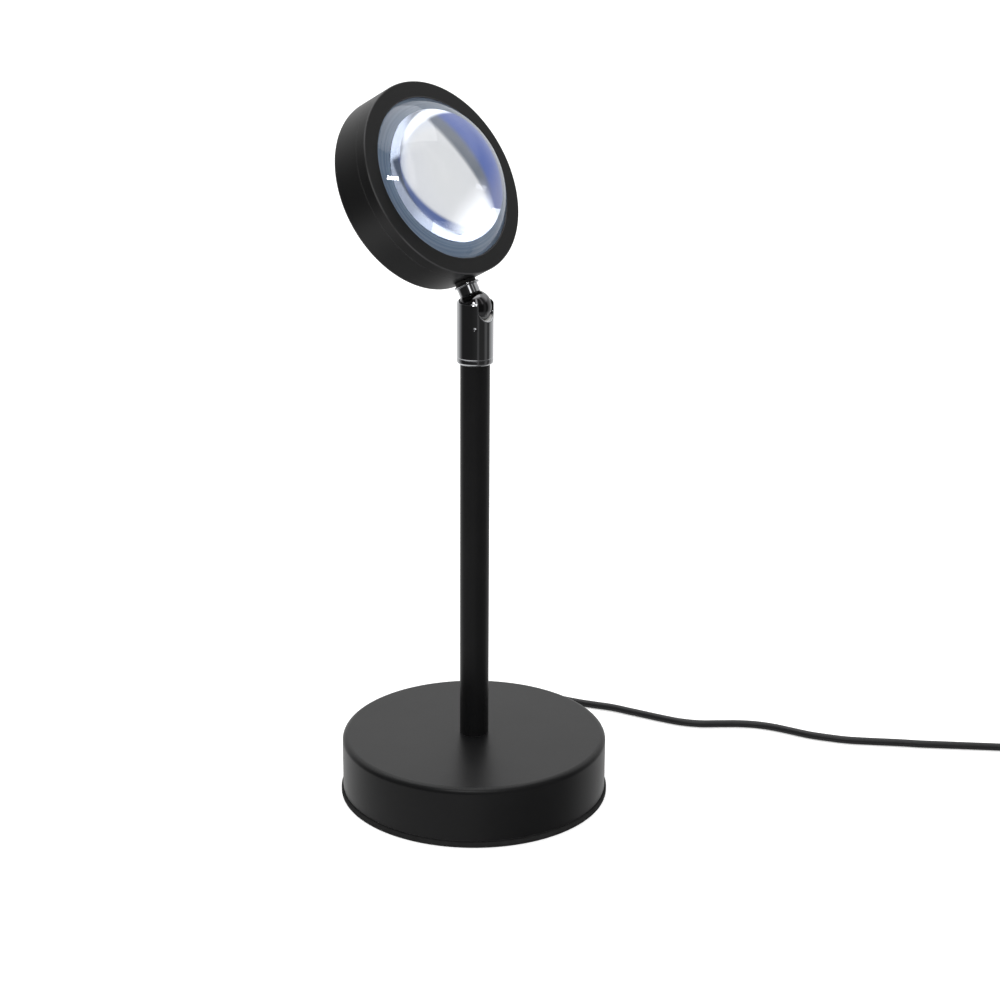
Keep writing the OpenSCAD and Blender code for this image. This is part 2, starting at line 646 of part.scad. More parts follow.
// A strap round all the coil's turns, on the side away from its ends
module coil_tie() {
    in_x = sqrt(pow(coil_in_r - lead_r, 2) - pow(strap_w/2, 2)) - strap_gap;
    out_x = coil_out_r + lead_r + strap_gap;
    low = coil_z - lead_r - strap_gap;
    high = coil_z + (coil_layers - 1)*layer_pitch + lead_r + strap_gap;
    color([0.08, 0.08, 0.08]) translate(coil_centre) rotate([0, 0, coil_angle + 180]) rotate([90, 0, 0])
        translate([0, 0, -strap_w/2]) linear_extrude(strap_w) difference() {
            translate([in_x - strap_t, low - strap_t])
                square([out_x - in_x + 2*strap_t, high - low + 2*strap_t]);
            translate([in_x, low]) square([out_x - in_x, high - low]);
        }
}

// Plug: +Z of this frame points out of the plug along the cord's heading, and +Y is up
module at_plug() { translate(plug_at) rotate([0, 0, coil_angle + 90]) rotate([90, 0, 90]) children(); }
module rounded_bar(size, edge) {
    linear_extrude(size.z) union() {
        square([size.x - 2*edge, size.y], center = true);
        square([size.x, size.y - 2*edge], center = true);
        for (x = [-1, 1], y = [-1, 1]) translate([x*(size.x/2 - edge), y*(size.y/2 - edge)])
            circle(r = edge, $fn = 32);
    }
}
module usb_grip() {
    color([0.08, 0.08, 0.08]) at_plug() {
        cylinder(r1 = lead_r + 0.5, r2 = lead_r + 1.6, h = grip_neck);
        translate([0, 0, grip_neck - eps]) rounded_bar(grip_size, grip_edge);
    }
}
module usb_shell() {
    z0 = grip_neck + grip_size.z;
    color([0.75, 0.76, 0.78]) at_plug() difference() {
        translate([0, 0, z0 - eps]) rounded_bar(shell_size, 0.4);
        translate([0, 0, z0 + 1]) rounded_bar([shell_size.x, shell_size.y, shell_size.z]
            - 2*shell_wall*[1, 1, 0], 0.2);
        for (x = [-1, 1]) translate([x*2.6 - 1, -4, z0 + 5]) cube([2, 8, 2]);
    }
}
module usb_tongue() {
    z0 = grip_neck + grip_size.z + 1;
    color([0.92, 0.92, 0.9]) at_plug()
        translate([-shell_size.x/2 + shell_wall + 0.2, -shell_size.y/2 + shell_wall, z0])
            cube([shell_size.x - 2*shell_wall - 0.4, tongue_t, shell_size.z - 1.4]);
}
module usb_contacts() {
    z0 = grip_neck + grip_size.z + 1.6;
    color([0.85, 0.68, 0.25]) at_plug() for (x = [-3.5, -1, 1, 3.5])
        translate([x - 0.5, -shell_size.y/2 + shell_wall + tongue_t, z0]) cube([1, 0.15, shell_size.z - 3]);
}

foot_pad();
bottom_plate();
plate_screws();
base_cover();
ballast();
base_nipple();
base_washer();
base_nut();
cord_bush();
base_lead();
stem_tube();
stem_wires();
core_bush();
knuckle_sleeve();
wave_washer();
ball_seat();
ball_neck();
neck_washer();
neck_pad();
neck_nut();
rear_housing();
front_bezel();
lens();
lens_gasket();
filter_disc();
retaining_ring();
reflector();
led_board();
led_emitter();
heat_sink();
led_screws();
driver_board();
driver_screws();
ir_receiver();
head_wires();
cord_run();
cord_coil();
cord_tail();
coil_tie();
usb_grip();
usb_shell();
usb_tongue();
usb_contacts();
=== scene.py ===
# %% [markdown]
# # A sunset projection lamp
#
# This small desk lamp throws a round pool of coloured light on a wall. It has a weighted disc for a base, one
# straight tube, a chrome ball knuckle and a drum that holds a thick domed lens. On the real lamp nearly every
# piece is turned or pressed round, so nearly every piece here is a profile carried round an axis. Sizes are
# in millimetres, like the lamp's drawing, and become metres only when a mesh is made.
#
# The frame brings the lamp's solids, each in its place. A solid whose shape is right keeps it and only gets a
# finish. The others are made again here with softer edges, and each new piece says which solid it stands for.

# %% Load the frame
import json
import math
import bmesh
import bpy
import numpy as np
from mathutils import Matrix, Vector


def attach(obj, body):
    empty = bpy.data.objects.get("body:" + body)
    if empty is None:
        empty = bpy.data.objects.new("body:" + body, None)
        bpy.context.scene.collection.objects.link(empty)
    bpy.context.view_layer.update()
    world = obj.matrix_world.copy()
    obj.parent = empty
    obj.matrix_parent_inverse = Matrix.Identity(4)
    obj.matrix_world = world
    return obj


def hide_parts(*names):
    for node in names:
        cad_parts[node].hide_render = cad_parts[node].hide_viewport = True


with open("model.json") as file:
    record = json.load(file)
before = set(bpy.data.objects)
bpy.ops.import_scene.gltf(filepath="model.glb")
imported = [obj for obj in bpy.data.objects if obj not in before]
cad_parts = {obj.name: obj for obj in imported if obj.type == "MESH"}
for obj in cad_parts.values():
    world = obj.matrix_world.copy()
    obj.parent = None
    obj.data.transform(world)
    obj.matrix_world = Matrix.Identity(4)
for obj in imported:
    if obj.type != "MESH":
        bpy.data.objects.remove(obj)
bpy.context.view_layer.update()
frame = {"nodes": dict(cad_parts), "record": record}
nodes = frame["nodes"]
MM = 0.001

# %% [markdown]
# ## The camera
#
# The photograph was taken from a little above the lamp's top, with a long lens, so the stem's sides are
# almost parallel. The camera's three directions were solved from the rims of the base and the head, which
# are circles on the real lamp. A camera could also be aimed with a Track To constraint, but the picture
# leans by a third of a degree, and a matrix holds that too.

# %% Place the camera
def new_object(name, data):
    """An object that holds the data, linked to the scene."""
    made = bpy.data.objects.new(name, data)
    bpy.context.scene.collection.objects.link(made)
    return made


camera_at = Vector((-0.60871, -0.50711, 0.39007))
to_right = Vector((0.6326, -0.7745, 0.0062))
to_back = Vector((-0.7338, -0.5967, 0.3248)).normalized()
to_up = to_back.cross(to_right).normalized()
to_right = to_up.cross(to_back)
focal_length, sensor_width, nearest_seen = 80.91, 36, 0.01
camera = new_object("camera", bpy.data.cameras.new("camera"))
camera_turn = Matrix((to_right, to_up, to_back)).transposed().to_4x4()
camera.matrix_world = Matrix.Translation(camera_at) @ camera_turn
camera.data.sensor_width = sensor_width
camera.data.lens = focal_length
camera.data.clip_start = nearest_seen
bpy.context.scene.camera = camera
print("camera is", round(camera_at.length, 3), "m from the base's centre")

# %% [markdown]
# ## Surfaces from arrays
#
# A surface here is a grid of points whose faces join neighbours. The points could be made one by one in a
# loop, but numpy works the whole grid out at once, which is quick and keeps the formula in sight. The grid
# closes round the axis by wrapping its columns, and for a closed profile by wrapping its rows too.

# %% Faces of a grid
def grid_faces(rows, columns, wrap_rows=False):
    """Quads between neighbouring rows, wrapped round the columns, and round the rows for a closed profile."""
    row_count = rows if wrap_rows else rows - 1
    i, j = np.meshgrid(np.arange(row_count), np.arange(columns), indexing="ij")
    here, there = i*columns, (i + 1) % rows*columns
    k = (j + 1) % columns
    return np.stack([here + j, here + k, there + k, there + j], axis=-1).reshape(-1, 4)


print("a tube of 3 rows and 4 columns has", len(grid_faces(3, 4)), "faces")

# %% [markdown]
# Paint and plating wear thin first where an edge is sharp, and the same edges carry a painted highlight line,
# so the finishes need to know how sharply a surface bends. The renderer has a Pointiness value for that, but
# it mixes up points that lie closer together than a third of a millimetre, and this lamp's small parts are
# full of them. So each mesh carries its own number.

# %% How sharply a mesh bends
def mark_edges(mesh):
    """Writes how sharply the surface bends at each point, as the attribute bend, in 1/m. Along a mesh edge it
    is the step between the two normals, taken along the edge, over the edge's length. A point takes the
    largest of its edges, and never less than 0."""
    count = len(mesh.vertices)
    at, normal = np.empty(count*3, np.float32), np.empty(count*3, np.float32)
    ends = np.empty(len(mesh.edges)*2, np.int32)
    mesh.vertices.foreach_get("co", at)
    mesh.vertex_normals.foreach_get("vector", normal)
    mesh.edges.foreach_get("vertices", ends)
    at, normal, (a, b) = at.reshape(-1, 3), normal.reshape(-1, 3), ends.reshape(-1, 2).T
    step = at[b] - at[a]
    along = ((normal[b] - normal[a])*step).sum(1)/np.maximum((step*step).sum(1), 1e-12)
    bend = np.zeros(count, np.float32)
    np.maximum.at(bend, a, along)
    np.maximum.at(bend, b, along)
    mesh.attributes.new("bend", "FLOAT", "POINT").data.foreach_set("value", bend)


edge_radius = 0.35
print("an edge rounded by", edge_radius, "mm has a bend of", round(1/(edge_radius*MM)), "per metre")

# %% [markdown]
# Every new mesh goes through the same steps. Points that coincide are merged, which closes a pole where a row
# sits on the axis. Faces are turned outwards. Everything is shaded smooth, and an edge that turns by more
# than a given angle stays crisp. A Bevel modifier could round the edges, but here the roundness is already in
# each profile, where its radius can be read.

# %% A mesh from points and faces
def new_piece(name, points, faces, sharp=32):
    """An object from points in millimetres and faces. Edges steeper than sharp degrees stay crisp."""
    merge_within = 1e-7
    mesh = bpy.data.meshes.new(name)
    mesh.from_pydata((np.asarray(points)*MM).tolist(), [], np.asarray(faces).tolist())
    work = bmesh.new()
    work.from_mesh(mesh)
    bmesh.ops.remove_doubles(work, verts=work.verts, dist=merge_within)
    bmesh.ops.recalc_face_normals(work, faces=work.faces)
    work.to_mesh(mesh)
    work.free()
    mesh.shade_smooth()
    mark_edges(mesh)
    mesh.set_sharp_from_angle(angle=math.radians(sharp))
    return new_object(name, mesh)


print("pieces so far:", len(nodes), "solids of the frame")

# %% [markdown]
# No edge of a real lamp is perfectly sharp, and it is the small radius that catches the light. A section is
# drawn as a few corners, and each corner is replaced by an arc. One extra point just beyond the arc keeps the
# flat beside it looking flat, because smooth shading would otherwise spread the bend over it.

# %% Rounded sections
def rounded(corners, radii, steps=6, hold=0.08):
    """A closed profile of (radius, height) corners, each rounded by an arc: the arc touches both sides at
    radius/tan(half the corner's angle) from the corner, and its centre is on the bisector. One more point
    lies a hold's length beyond each end of the arc."""
    corners = np.asarray(corners, float)
    out = []
    for corner, before, after, r in zip(corners, np.roll(corners, 1, 0), np.roll(corners, -1, 0), radii):
        if r <= 0:
            out.append(corner[None])
            continue
        a = (before - corner)/np.linalg.norm(before - corner)
        b = (after - corner)/np.linalg.norm(after - corner)
        half = math.acos(np.clip(a @ b, -1, 1))/2
        centre = corner + (a + b)/np.linalg.norm(a + b)*r/math.sin(half)
        start, end = corner + a*r/math.tan(half) - centre, corner + b*r/math.tan(half) - centre
        turn = math.atan2(start[0]*end[1] - start[1]*end[0], start @ end)
        t = np.linspace(0, turn, steps + 1)[:, None]
        side = np.array([-start[1], start[0]])
        arc = centre + np.cos(t)*start + np.sin(t)*side
        out += [(centre + start + a*hold)[None], arc, (centre + end + b*hold)[None]]
    return np.concatenate(out)


soft_box = rounded([(0, 0), (9, 0), (9, 9), (0, 9)], [0, 1, 0, 0])
print("a box with one soft corner has", len(soft_box), "points")

# %% [markdown]
# A lathe turns the work against a tool that follows a profile, and the next function does the same. A Screw
# modifier would do it as well. Making the points ourselves lets the profile be anything and puts the axis
# anywhere in space, which the leaning head needs.

# %% Turned pieces
def turned(name, profile, axis, columns=160, sharp=32):
    """A closed profile of (radius, height) points carried round an axis: the point at angle u is
    origin + radius*(cos(u)*x + sin(u)*y) + height*z. axis is (origin, x, y, z)."""
    origin, x, y, z = (np.asarray(v, float) for v in axis)
    profile = np.asarray(profile, float)
    u = np.linspace(0, 2*math.pi, columns, endpoint=False)
    ring = np.cos(u)[:, None]*x + np.sin(u)[:, None]*y
    points = origin + profile[:, 0, None, None]*ring[None] + profile[:, 1, None, None]*z
    return new_piece(name, points.reshape(-1, 3), grid_faces(len(profile), columns, True), sharp)


short_by = 50*(1 - math.cos(math.pi/256))
print("256 columns round a radius of 50 mm are within", round(short_by, 4), "mm of the circle")

# %% [markdown]
# A new piece takes the place of one or more of the frame's solids. It says which ones, which body it moves
# with, and which of the record's slots gives it its finish. The solids stay behind the scenes for the physics.

# %% Dress a piece
dressed = []


def dress(piece, body, slot, *stands_for):
    """The piece stands for CAD nodes, rides on their body and takes their slot. It is noted for the paint."""
    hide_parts(*stands_for)
    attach(piece, body)
    dressed.append((piece, slot))
    print(f"{piece.name}: {len(piece.data.vertices)} points, for {', '.join(stands_for)}")
    return piece


# %% [markdown]
# ## Three axes
#
# The stem, the neck and the lens each have an axis of their own. On the real lamp the ball in the knuckle
# lets the head lean. Here the neck leans back by 29.2 degrees, which is as far as the sleeve's rim lets it
# go, and the lens looks square to the neck. Pieces are made straight in their place on these axes and aren't
# turned afterwards, so that their objects stay at the origin as the frame asks.

# %% Axes
lean = math.radians(29.2)
ball_z, head_arm = 192.0, 46.9
neck_way = np.array([0, math.sin(lean), math.cos(lean)])
lens_way = np.array([0, -math.cos(lean), math.sin(lean)])
x_way, up_way = np.array([1.0, 0, 0]), np.array([0, 0, 1.0])
ball_at = np.array([0, 0, ball_z])
head_centre = ball_at + head_arm*neck_way
stem_axis = ((0, 0, 0), x_way, (0, 1, 0), up_way)
neck_axis = (ball_at, x_way, -lens_way, neck_way)
lens_axis = (head_centre, x_way, neck_way, lens_way)
print("head's centre:", head_centre.round(1), "mm")

# %% [markdown]
# ## The cord
#
# The supply cord is a soft round cable, 3 mm thick. It comes first, because its place decides how far the
# model spreads. It leaves the base at the back, drops to the table in a few centimetres and lies there in
# slow curves. A cord could be left to fall in a simulation, but the picture shows where it lies, so its route
# is a list of points on the table. They are the same points as the solid's.

# %% The cord's route over the table
cord_r = 1.5
cord_exit_z, bush_reach = 7.5, 64.7
exit_way = np.array([math.cos(math.radians(45)), math.sin(math.radians(45)), 0])
bush_tip = bush_reach*exit_way + np.array([0, 0, cord_exit_z])
run_points = [(51, 51, 7), (56.5, 54.5, 5.7), (63, 56, 4.1), (69.5, 54.5, 2.7), (75, 50.5, 1.8),
    (79, 45, 1.5), (81.5, 38, 1.5), (83.5, 30.5, 1.5), (85, 23, 1.5), (87, 15, 1.5), (89.5, 8, 1.5),
    (92, 1, 1.5), (93.5, -6.5, 1.5), (95, -14, 1.5), (96.5, -21.5, 1.5), (98.5, -29, 1.5), (102, -36, 1.5),
    (107, -42, 1.5), (112.5, -48.5, 1.5), (116.5, -55, 1.5), (119, -62, 1.5), (120.5, -69.5, 1.5),
    (122, -77, 1.5), (124.5, -84, 1.5), (127.5, -91, 1.5), (131.5, -97.5, 1.5), (135.5, -103.5, 1.5),
    (139.5, -109.5, 1.5), (143.5, -116, 1.5), (148, -122.5, 1.5), (152.5, -129, 1.5), (157, -135.5, 1.5),
    (161.5, -142, 1.5), (165.5, -148.5, 1.6), (170, -155, 1.9), (174, -161, 2.3)]
print("free run:", len(run_points), "points from", bush_tip.round(1))

# %% [markdown]
# ### The stored coil
#
# Such a lamp has about a metre and a half of cord, and the picture shows only the first stretch. The rest is
# wound as it comes from the factory: twelve turns in four layers, three turns to a layer. A Screw modifier
# could wind one layer, but a real coil goes out and in by turns and climbs at each reversal. So its radius is
# a zigzag over the number of turns, and its height is a stair with soft steps.

# %% Wind the coil
coil_centre = np.array([197.5, -157.5])
coil_angle = math.radians(213)
coil_turns, coil_layers, turns_a_layer, turn_pitch = 12, 4, 3, 3.5
coil_out_r, coil_in_r, coil_z = 21.25, 10.75, 2.4
heading = np.array([-math.sin(coil_angle), math.cos(coil_angle), 0])


def coil_route(steps=24, climb=0.5):
    """The coil's points: a triangle wave takes the radius in and out once every two layers, and the height
    climbs one pitch around each reversal, as a smooth step that takes climb turns."""
    u = np.arange(coil_turns*steps + 1)/steps
    v = u/turns_a_layer
    part = v - np.floor(v)
    wave = np.where(np.floor(v) % 2 == 0, part, 1 - part)
    k = np.round(v)
    s = np.clip((u - k*turns_a_layer)/climb + 0.5, 0, 1)
    between = k - 1 + s*s*(3 - 2*s)
    layer = np.where(k <= 0, 0, np.where(k >= coil_layers, coil_layers - 1, between))
    r = coil_out_r - (coil_out_r - coil_in_r)*wave
    a = coil_angle + 2*math.pi*u
    return np.stack([coil_centre[0] + r*np.cos(a), coil_centre[1] + r*np.sin(a), coil_z + turn_pitch*layer], 1)


coil_points = coil_route()
coil_first = coil_points[0] - 2*cord_r*heading
coil_last = coil_points[-1] + 2*cord_r*heading
print("coil:", coil_turns, "turns,", coil_points[:, 2].max().round(1), "mm up to the top turn's middle")

# %% [markdown]
# The end of the cord comes off the top of the coil and runs down to the plug, which lies flat on the table.

# %% From the coil to the plug
tail_steps = [(6, 12.1), (12, 10), (18, 7.4), (24, 5.2), (29, 4.3), (34, 4)]
tail = np.array([[coil_last[0] + d*heading[0], coil_last[1] + d*heading[1], z] for d, z in tail_steps])
plug_at = tail[-1]
print("the plug starts at", plug_at.round(1), "mm")

# %% [markdown]
# ### A smooth line through the points
#
# Straight lines between the points would give the cord kinks. A curve object could smooth them, but the path
# is needed as numbers, for the cord's length and for the frame. A cubic through four neighbouring points at a
# time passes through every point of the route and has no kinks.

# %% Smooth a route
def smoothed(points, parts):
    """Points on a smooth cubic through all the points: each stretch's slope at a point is half the step from
    the point before to the point after. Both ends get one mirrored point more, which gives them a slope."""
    p = np.concatenate([[2*points[0] - points[1]], points, [2*points[-1] - points[-2]]])
    t = (np.arange(parts)/parts)[None, :, None]
    a, b, c, d = (p[i:len(p) - 3 + i, None] for i in range(4))
    curve = 0.5*(2*b + (c - a)*t + (2*a - 5*b + 4*c - d)*t**2 + (3*b - a - 3*c + d)*t**3)
    return np.concatenate([curve.reshape(-1, 3), points[-1:]])


run_path = smoothed(np.concatenate([[bush_tip], run_points, [coil_first]]), 4)
coil_path = smoothed(np.concatenate([[coil_first], coil_points, [coil_last]]), 2)
tail_path = smoothed(np.concatenate([[coil_last], tail]), 4)
cord_path = np.concatenate([run_path, coil_path[1:], tail_path[1:]])

# %% [markdown]
# ### The cord's sheath
#
# A tube is a circle carried along the path, square to the way the path goes. A curve with a bevel depth makes
# one too, but may twist on a path in space. Here one direction of the circle is always level, so a pattern on
# the sheath can't twist.

# %% Make the cord
def tube(name, path, radius, columns=12):
    """A circle carried along a path: each point is path + radius*(cos(u)*side + sin(u)*top), where side is
    level and top is upright, and both ends are closed by a row of points on the path."""
    way = np.gradient(path, axis=0)
    way /= np.linalg.norm(way, axis=1, keepdims=True)
    side = np.cross(up_way, way)
    side /= np.linalg.norm(side, axis=1, keepdims=True)
    top = np.cross(way, side)
    u = np.linspace(0, 2*math.pi, columns, endpoint=False)
    ring = np.cos(u)[None, :, None]*side[:, None] + np.sin(u)[None, :, None]*top[:, None]
    ends = [np.broadcast_to(path[i], (1, columns, 3)) for i in (0, -1)]
    points = np.concatenate([ends[0], path[:, None] + radius*ring, ends[1]])
    return new_piece(name, points.reshape(-1, 3), grid_faces(len(points), columns), sharp=50)


cord = dress(tube("cord", cord_path, cord_r), "base", "cord_sheath", "cord_run", "cord_coil", "cord_tail")

# %% [markdown]
# ## The plug
#
# The plug's grip is a soft moulded bar. It starts as a round neck on the cord and swells to a rounded box. A
# subdivided cube would come close, but its roundness would be hard to steer. A superellipse,
# |x/a|^n + |y/b|^n = 1, is an ellipse when n is 2 and nears a box as n grows, so one number at each station
# along the grip takes it from round to boxy. The metal shell, the tongue and the contacts keep their solids.

# %% Plug grip
plug_axis = (plug_at, np.cross(up_way, heading), up_way, heading)


def loft(name, stations, axis, columns=64, sharp=40):
    """Superellipse sections along an axis. Each station is (height, half width, half depth, power), and the
    point at angle u is as far out as (|cos(u)|^n + |sin(u)|^n)^(-1/n) of the way to the section's box."""
    origin, x, y, z = (np.asarray(v, float) for v in axis)
    height, half_width, half_depth, n = (column[:, None] for column in np.asarray(stations, float).T)
    u = np.linspace(0, 2*math.pi, columns, endpoint=False)
    c, d = np.cos(u), np.sin(u)
    reach = (np.abs(c)**n + np.abs(d)**n)**(-1/n)
    across = (half_width*reach*c)[..., None]*x + (half_depth*reach*d)[..., None]*y
    points = origin + across + height[..., None]*z
    return new_piece(name, points.reshape(-1, 3), grid_faces(len(height), columns), sharp)


grip_stations = [(0, 0, 0, 2), (0, 2, 2, 2), (0.3, 2.2, 2.2, 2), (5.6, 3.0, 3.0, 2), (6.0, 5.6, 2.9, 4),
    (6.3, 6.9, 3.5, 4.5), (7.2, 7.5, 3.85, 5), (9, 7.75, 3.97, 5), (16, 7.75, 3.97, 5), (24, 7.75, 3.97, 5),
    (26.2, 7.6, 3.85, 5), (26.8, 7.2, 3.5, 5), (27, 6.6, 2.9, 5), (27, 0, 0, 5)]
grip = dress(loft("plug_grip", grip_stations, plug_axis), "base", "cord_sheath", "usb_grip")

# %% [markdown]
# ## The strap
#
# A flat loop of tape holds the coil together. Its outline, seen along the cord, is a rounded box that just
# clears the outermost turns. Cloth simulation would suit a loose strap, but this one is pulled tight, so the
# outline is drawn once, moved outwards by the tape's thickness, and given the tape's width.

# %% Coil strap
strap_in, strap_out, strap_low, strap_high, strap_corner = 8.66, 22.85, 0.8, 14.5, 1.2
strap_t, strap_w = 0.78, 6
strap_inside = rounded([(strap_in, strap_low), (strap_out, strap_low), (strap_out, strap_high),
    (strap_in, strap_high)], [strap_corner]*4)


def band(name, inner, thickness, width, origin, out_way):
    """A band: the inner outline, and the same outline moved out by the thickness along its normals, both
    carried sideways by half the width."""
    step = np.roll(inner, -1, 0) - np.roll(inner, 1, 0)
    normal = np.stack([step[:, 1], -step[:, 0]], 1)
    normal /= np.linalg.norm(normal, axis=1, keepdims=True)
    outer = inner + normal*thickness
    side_way = np.array([-out_way[1], out_way[0], 0])
    loops = [origin + outline[:, :1]*out_way + outline[:, 1:]*up_way + side*width/2*side_way
        for outline, side in ((inner, -1), (outer, -1), (outer, 1), (inner, 1))]
    return new_piece(name, np.stack(loops).reshape(-1, 3), grid_faces(4, len(inner), True), sharp=50)


coil_out_way = -np.array([math.cos(coil_angle), math.sin(coil_angle), 0])
strap = band("coil_strap", strap_inside, strap_t, strap_w, np.array([*coil_centre, 0]), coil_out_way)
dress(strap, "base", "strap", "coil_tie")

# %% [markdown]

# %% [markdown]
# ## The base
#
# The cover is pressed from sheet steel: a flat top, one soft bend and a straight side. It could be a cylinder
# with a bevel, but a turned section has the sheet's thickness and its hollow too. The bend's radius matters
# most, because the room's bright side shows in it as the thin light line round the top.

# %% Base cover
base_r, base_top, cover_low, sheet, stem_bore = 50.7, 23.5, 2.3, 1.2, 4.7
cover_section = rounded([(stem_bore, base_top), (base_r, base_top), (base_r, cover_low),
    (base_r - sheet, cover_low), (base_r - sheet, base_top - sheet), (stem_bore, base_top - sheet)],
    [0.15, 2.2, 0.3, 0.3, 1.0, 0.1], 10)
dress(turned("base_cover_shell", cover_section, stem_axis, 256), "base", "black_steel", "base_cover")

# %% [markdown]
# Under the cover a foam disc keeps the lamp from sliding. It stands out by less than a millimetre, and the
# narrow shadow between the two is the dark line along the base's bottom edge. It is a solid disc, so its
# profile starts and ends on the axis, and both poles close when doubles are merged.

# %% Foot pad
pad_r, pad_top = 51.4, 2.25
pad_section = rounded([(0, 0), (pad_r, 0), (pad_r, pad_top), (0, pad_top)], [0, 0.5, 0.6, 0])
dress(turned("foot_pad_foam", pad_section, stem_axis, 256), "base", "foam", "foot_pad")

# %% [markdown]
# ## The stem
#
# The stem is a length of straight steel tube that stands on the cover. A cylinder would do for its side. It
# is turned like the rest so that it is a real tube with a bore, whose top edge is slightly rounded where it
# meets the knuckle.

# %% Stem
stem_r, stem_top = 5.5, 174
stem_section = rounded([(stem_r, base_top), (stem_r, stem_top), (stem_bore, stem_top), (stem_bore, base_top)],
    [0.25, 0.3, 0, 0])
dress(turned("stem", stem_section, stem_axis, 96), "base", "black_steel", "stem_tube")

# %% [markdown]
# ## The knuckle's sleeve
#
# The sleeve is a thin chromed tube. Its rim is crimped over the ball, one slot lets the neck fold forwards,
# and three small dimples hold it on the stem. Cutting the slot with a boolean would leave long thin faces
# that show in a mirror finish. Here the slot is part of the surface: the columns of the grid are spread so
# that some run up into the slot, and there the wall simply ends lower.

# %% The slot
sleeve_bottom, rim_top, sleeve_r, bore_r = 171.0, 194.4, 6.75, 6.2
slot_half, slot_z = 4.2, 191.8


def edge_distance(across, z):
    """How far a point of the wall is from the nearest cut edge: the smaller of the distance down from the rim
    and the distance to a slot with straight sides and a round end. across is measured sideways from the
    slot's middle."""
    slot = np.where(z > slot_z, across, np.hypot(across, z - slot_z)) - slot_half
    return np.minimum(rim_top - z, slot)


def column_angles(r, t, share):
    """The angle of every grid point, from its radius. The slot has flat sides: at every radius its half width
    is the same, so its angle is asin(half width/radius). t runs across the slot and share round the wall."""
    slot = np.arcsin(-slot_half*np.cos(t)/r[:, :len(t)])
    edge = np.arcsin(slot_half/r[:, len(t):])
    return np.concatenate([slot, edge + share*(2*math.pi - 2*edge)], axis=1)


slot_angle = 2*math.degrees(math.asin(slot_half/sleeve_r))
print("the slot takes", round(slot_angle), "degrees of the sleeve's outside")

# %% [markdown]
# The sleeve's foot is rolled: a soft lower edge, a plain band, and a fine groove above it. The rim bends in
# over the ball. Both are short lists of heights and radii, and the wall between them is straight. Next to a
# fine groove the heights lie close together, because a surface only has the detail that its rows can carry.

# %% The sleeve's profile
foot_up = np.array([0, 0.12, 0.3, 0.5, 0.7, 2.0, 2.08, 2.12, 2.15, 2.3, 2.33, 2.37, 2.45])
foot_r = np.array([6.15, 6.4, 6.58, 6.7, sleeve_r, sleeve_r, 6.72, 6.66, 6.6, 6.6, 6.66, 6.72, sleeve_r])
crimp_up, crimp_r = np.array([22.0, 22.5, 22.9, 23.2, 23.4]), np.array([sleeve_r, 6.7, 6.58, 6.42, 6.28])
crimp_height, crimp_in = 1.4, 0.24


def skin_radii(z):
    """The outer skin's radius is read off the foot's and the rim's lists, in straight steps between their
    heights. The inner skin is the bore, drawn in by a parabola over the crimp's height."""
    rise = sleeve_bottom + np.concatenate([foot_up, crimp_up])
    outer = np.interp(z, rise, np.concatenate([foot_r, crimp_r]))
    start = rim_top - crimp_height
    inner = np.where(z > start, bore_r - crimp_in*((z - start)/crimp_height)**2, bore_r)
    return outer, inner


print("wall:", round(sleeve_r - bore_r, 2), "mm, groove:", round(sleeve_r - foot_r[4:].min(), 2), "mm deep")

# %% [markdown]
# Plating rounds every cut edge a little, and a mirror finish shows it as a bright thread round the slot. The
# dimples are dents from a blunt punch. Both are small changes of the outer radius, so they are added to the
# same grid instead of being cut or sculpted. The first dimple is at 219 degrees from +X, and the grid's angles
# start a quarter turn earlier, at the slot.

# %% Round edges and dimples
edge_reach, edge_share = 0.7, 0.8
dimple_turns = np.radians(219 + 90 + 120*np.arange(3))
dimple_z, dimple_size, dimple_deep, dimple_inside = 184.9, 0.4, 0.3, 0.3


def round_over(outer, inner, distance):
    """Within edge_reach of a cut edge the outer skin falls towards the inner one by a quarter of an ellipse:
    a share of the wall, times 1 - sqrt(1 - near^2), where near goes from 0 to 1 at the edge."""
    near = np.clip(1 - distance/edge_reach, 0, 1)
    return outer - (outer - inner)*edge_share*(1 - np.sqrt(1 - near**2))


def dents(angle, z):
    """Three soft round dents: each is depth*exp(-(distance over the wall)^2/size^2)."""
    turn = (angle - dimple_turns[:, None, None] + math.pi) % (2*math.pi) - math.pi
    away = (turn*sleeve_r)**2 + (z - dimple_z)**2
    return dimple_deep*np.exp(-away/dimple_size**2).sum(0)


print("dimples are", round(rim_top - dimple_z, 1), "mm below the rim")

# %% [markdown]
# Now the grid itself. Its rows are denser towards the top, where the slot's end and the crimp are, and every
# column ends at the rim or at the slot's round end.

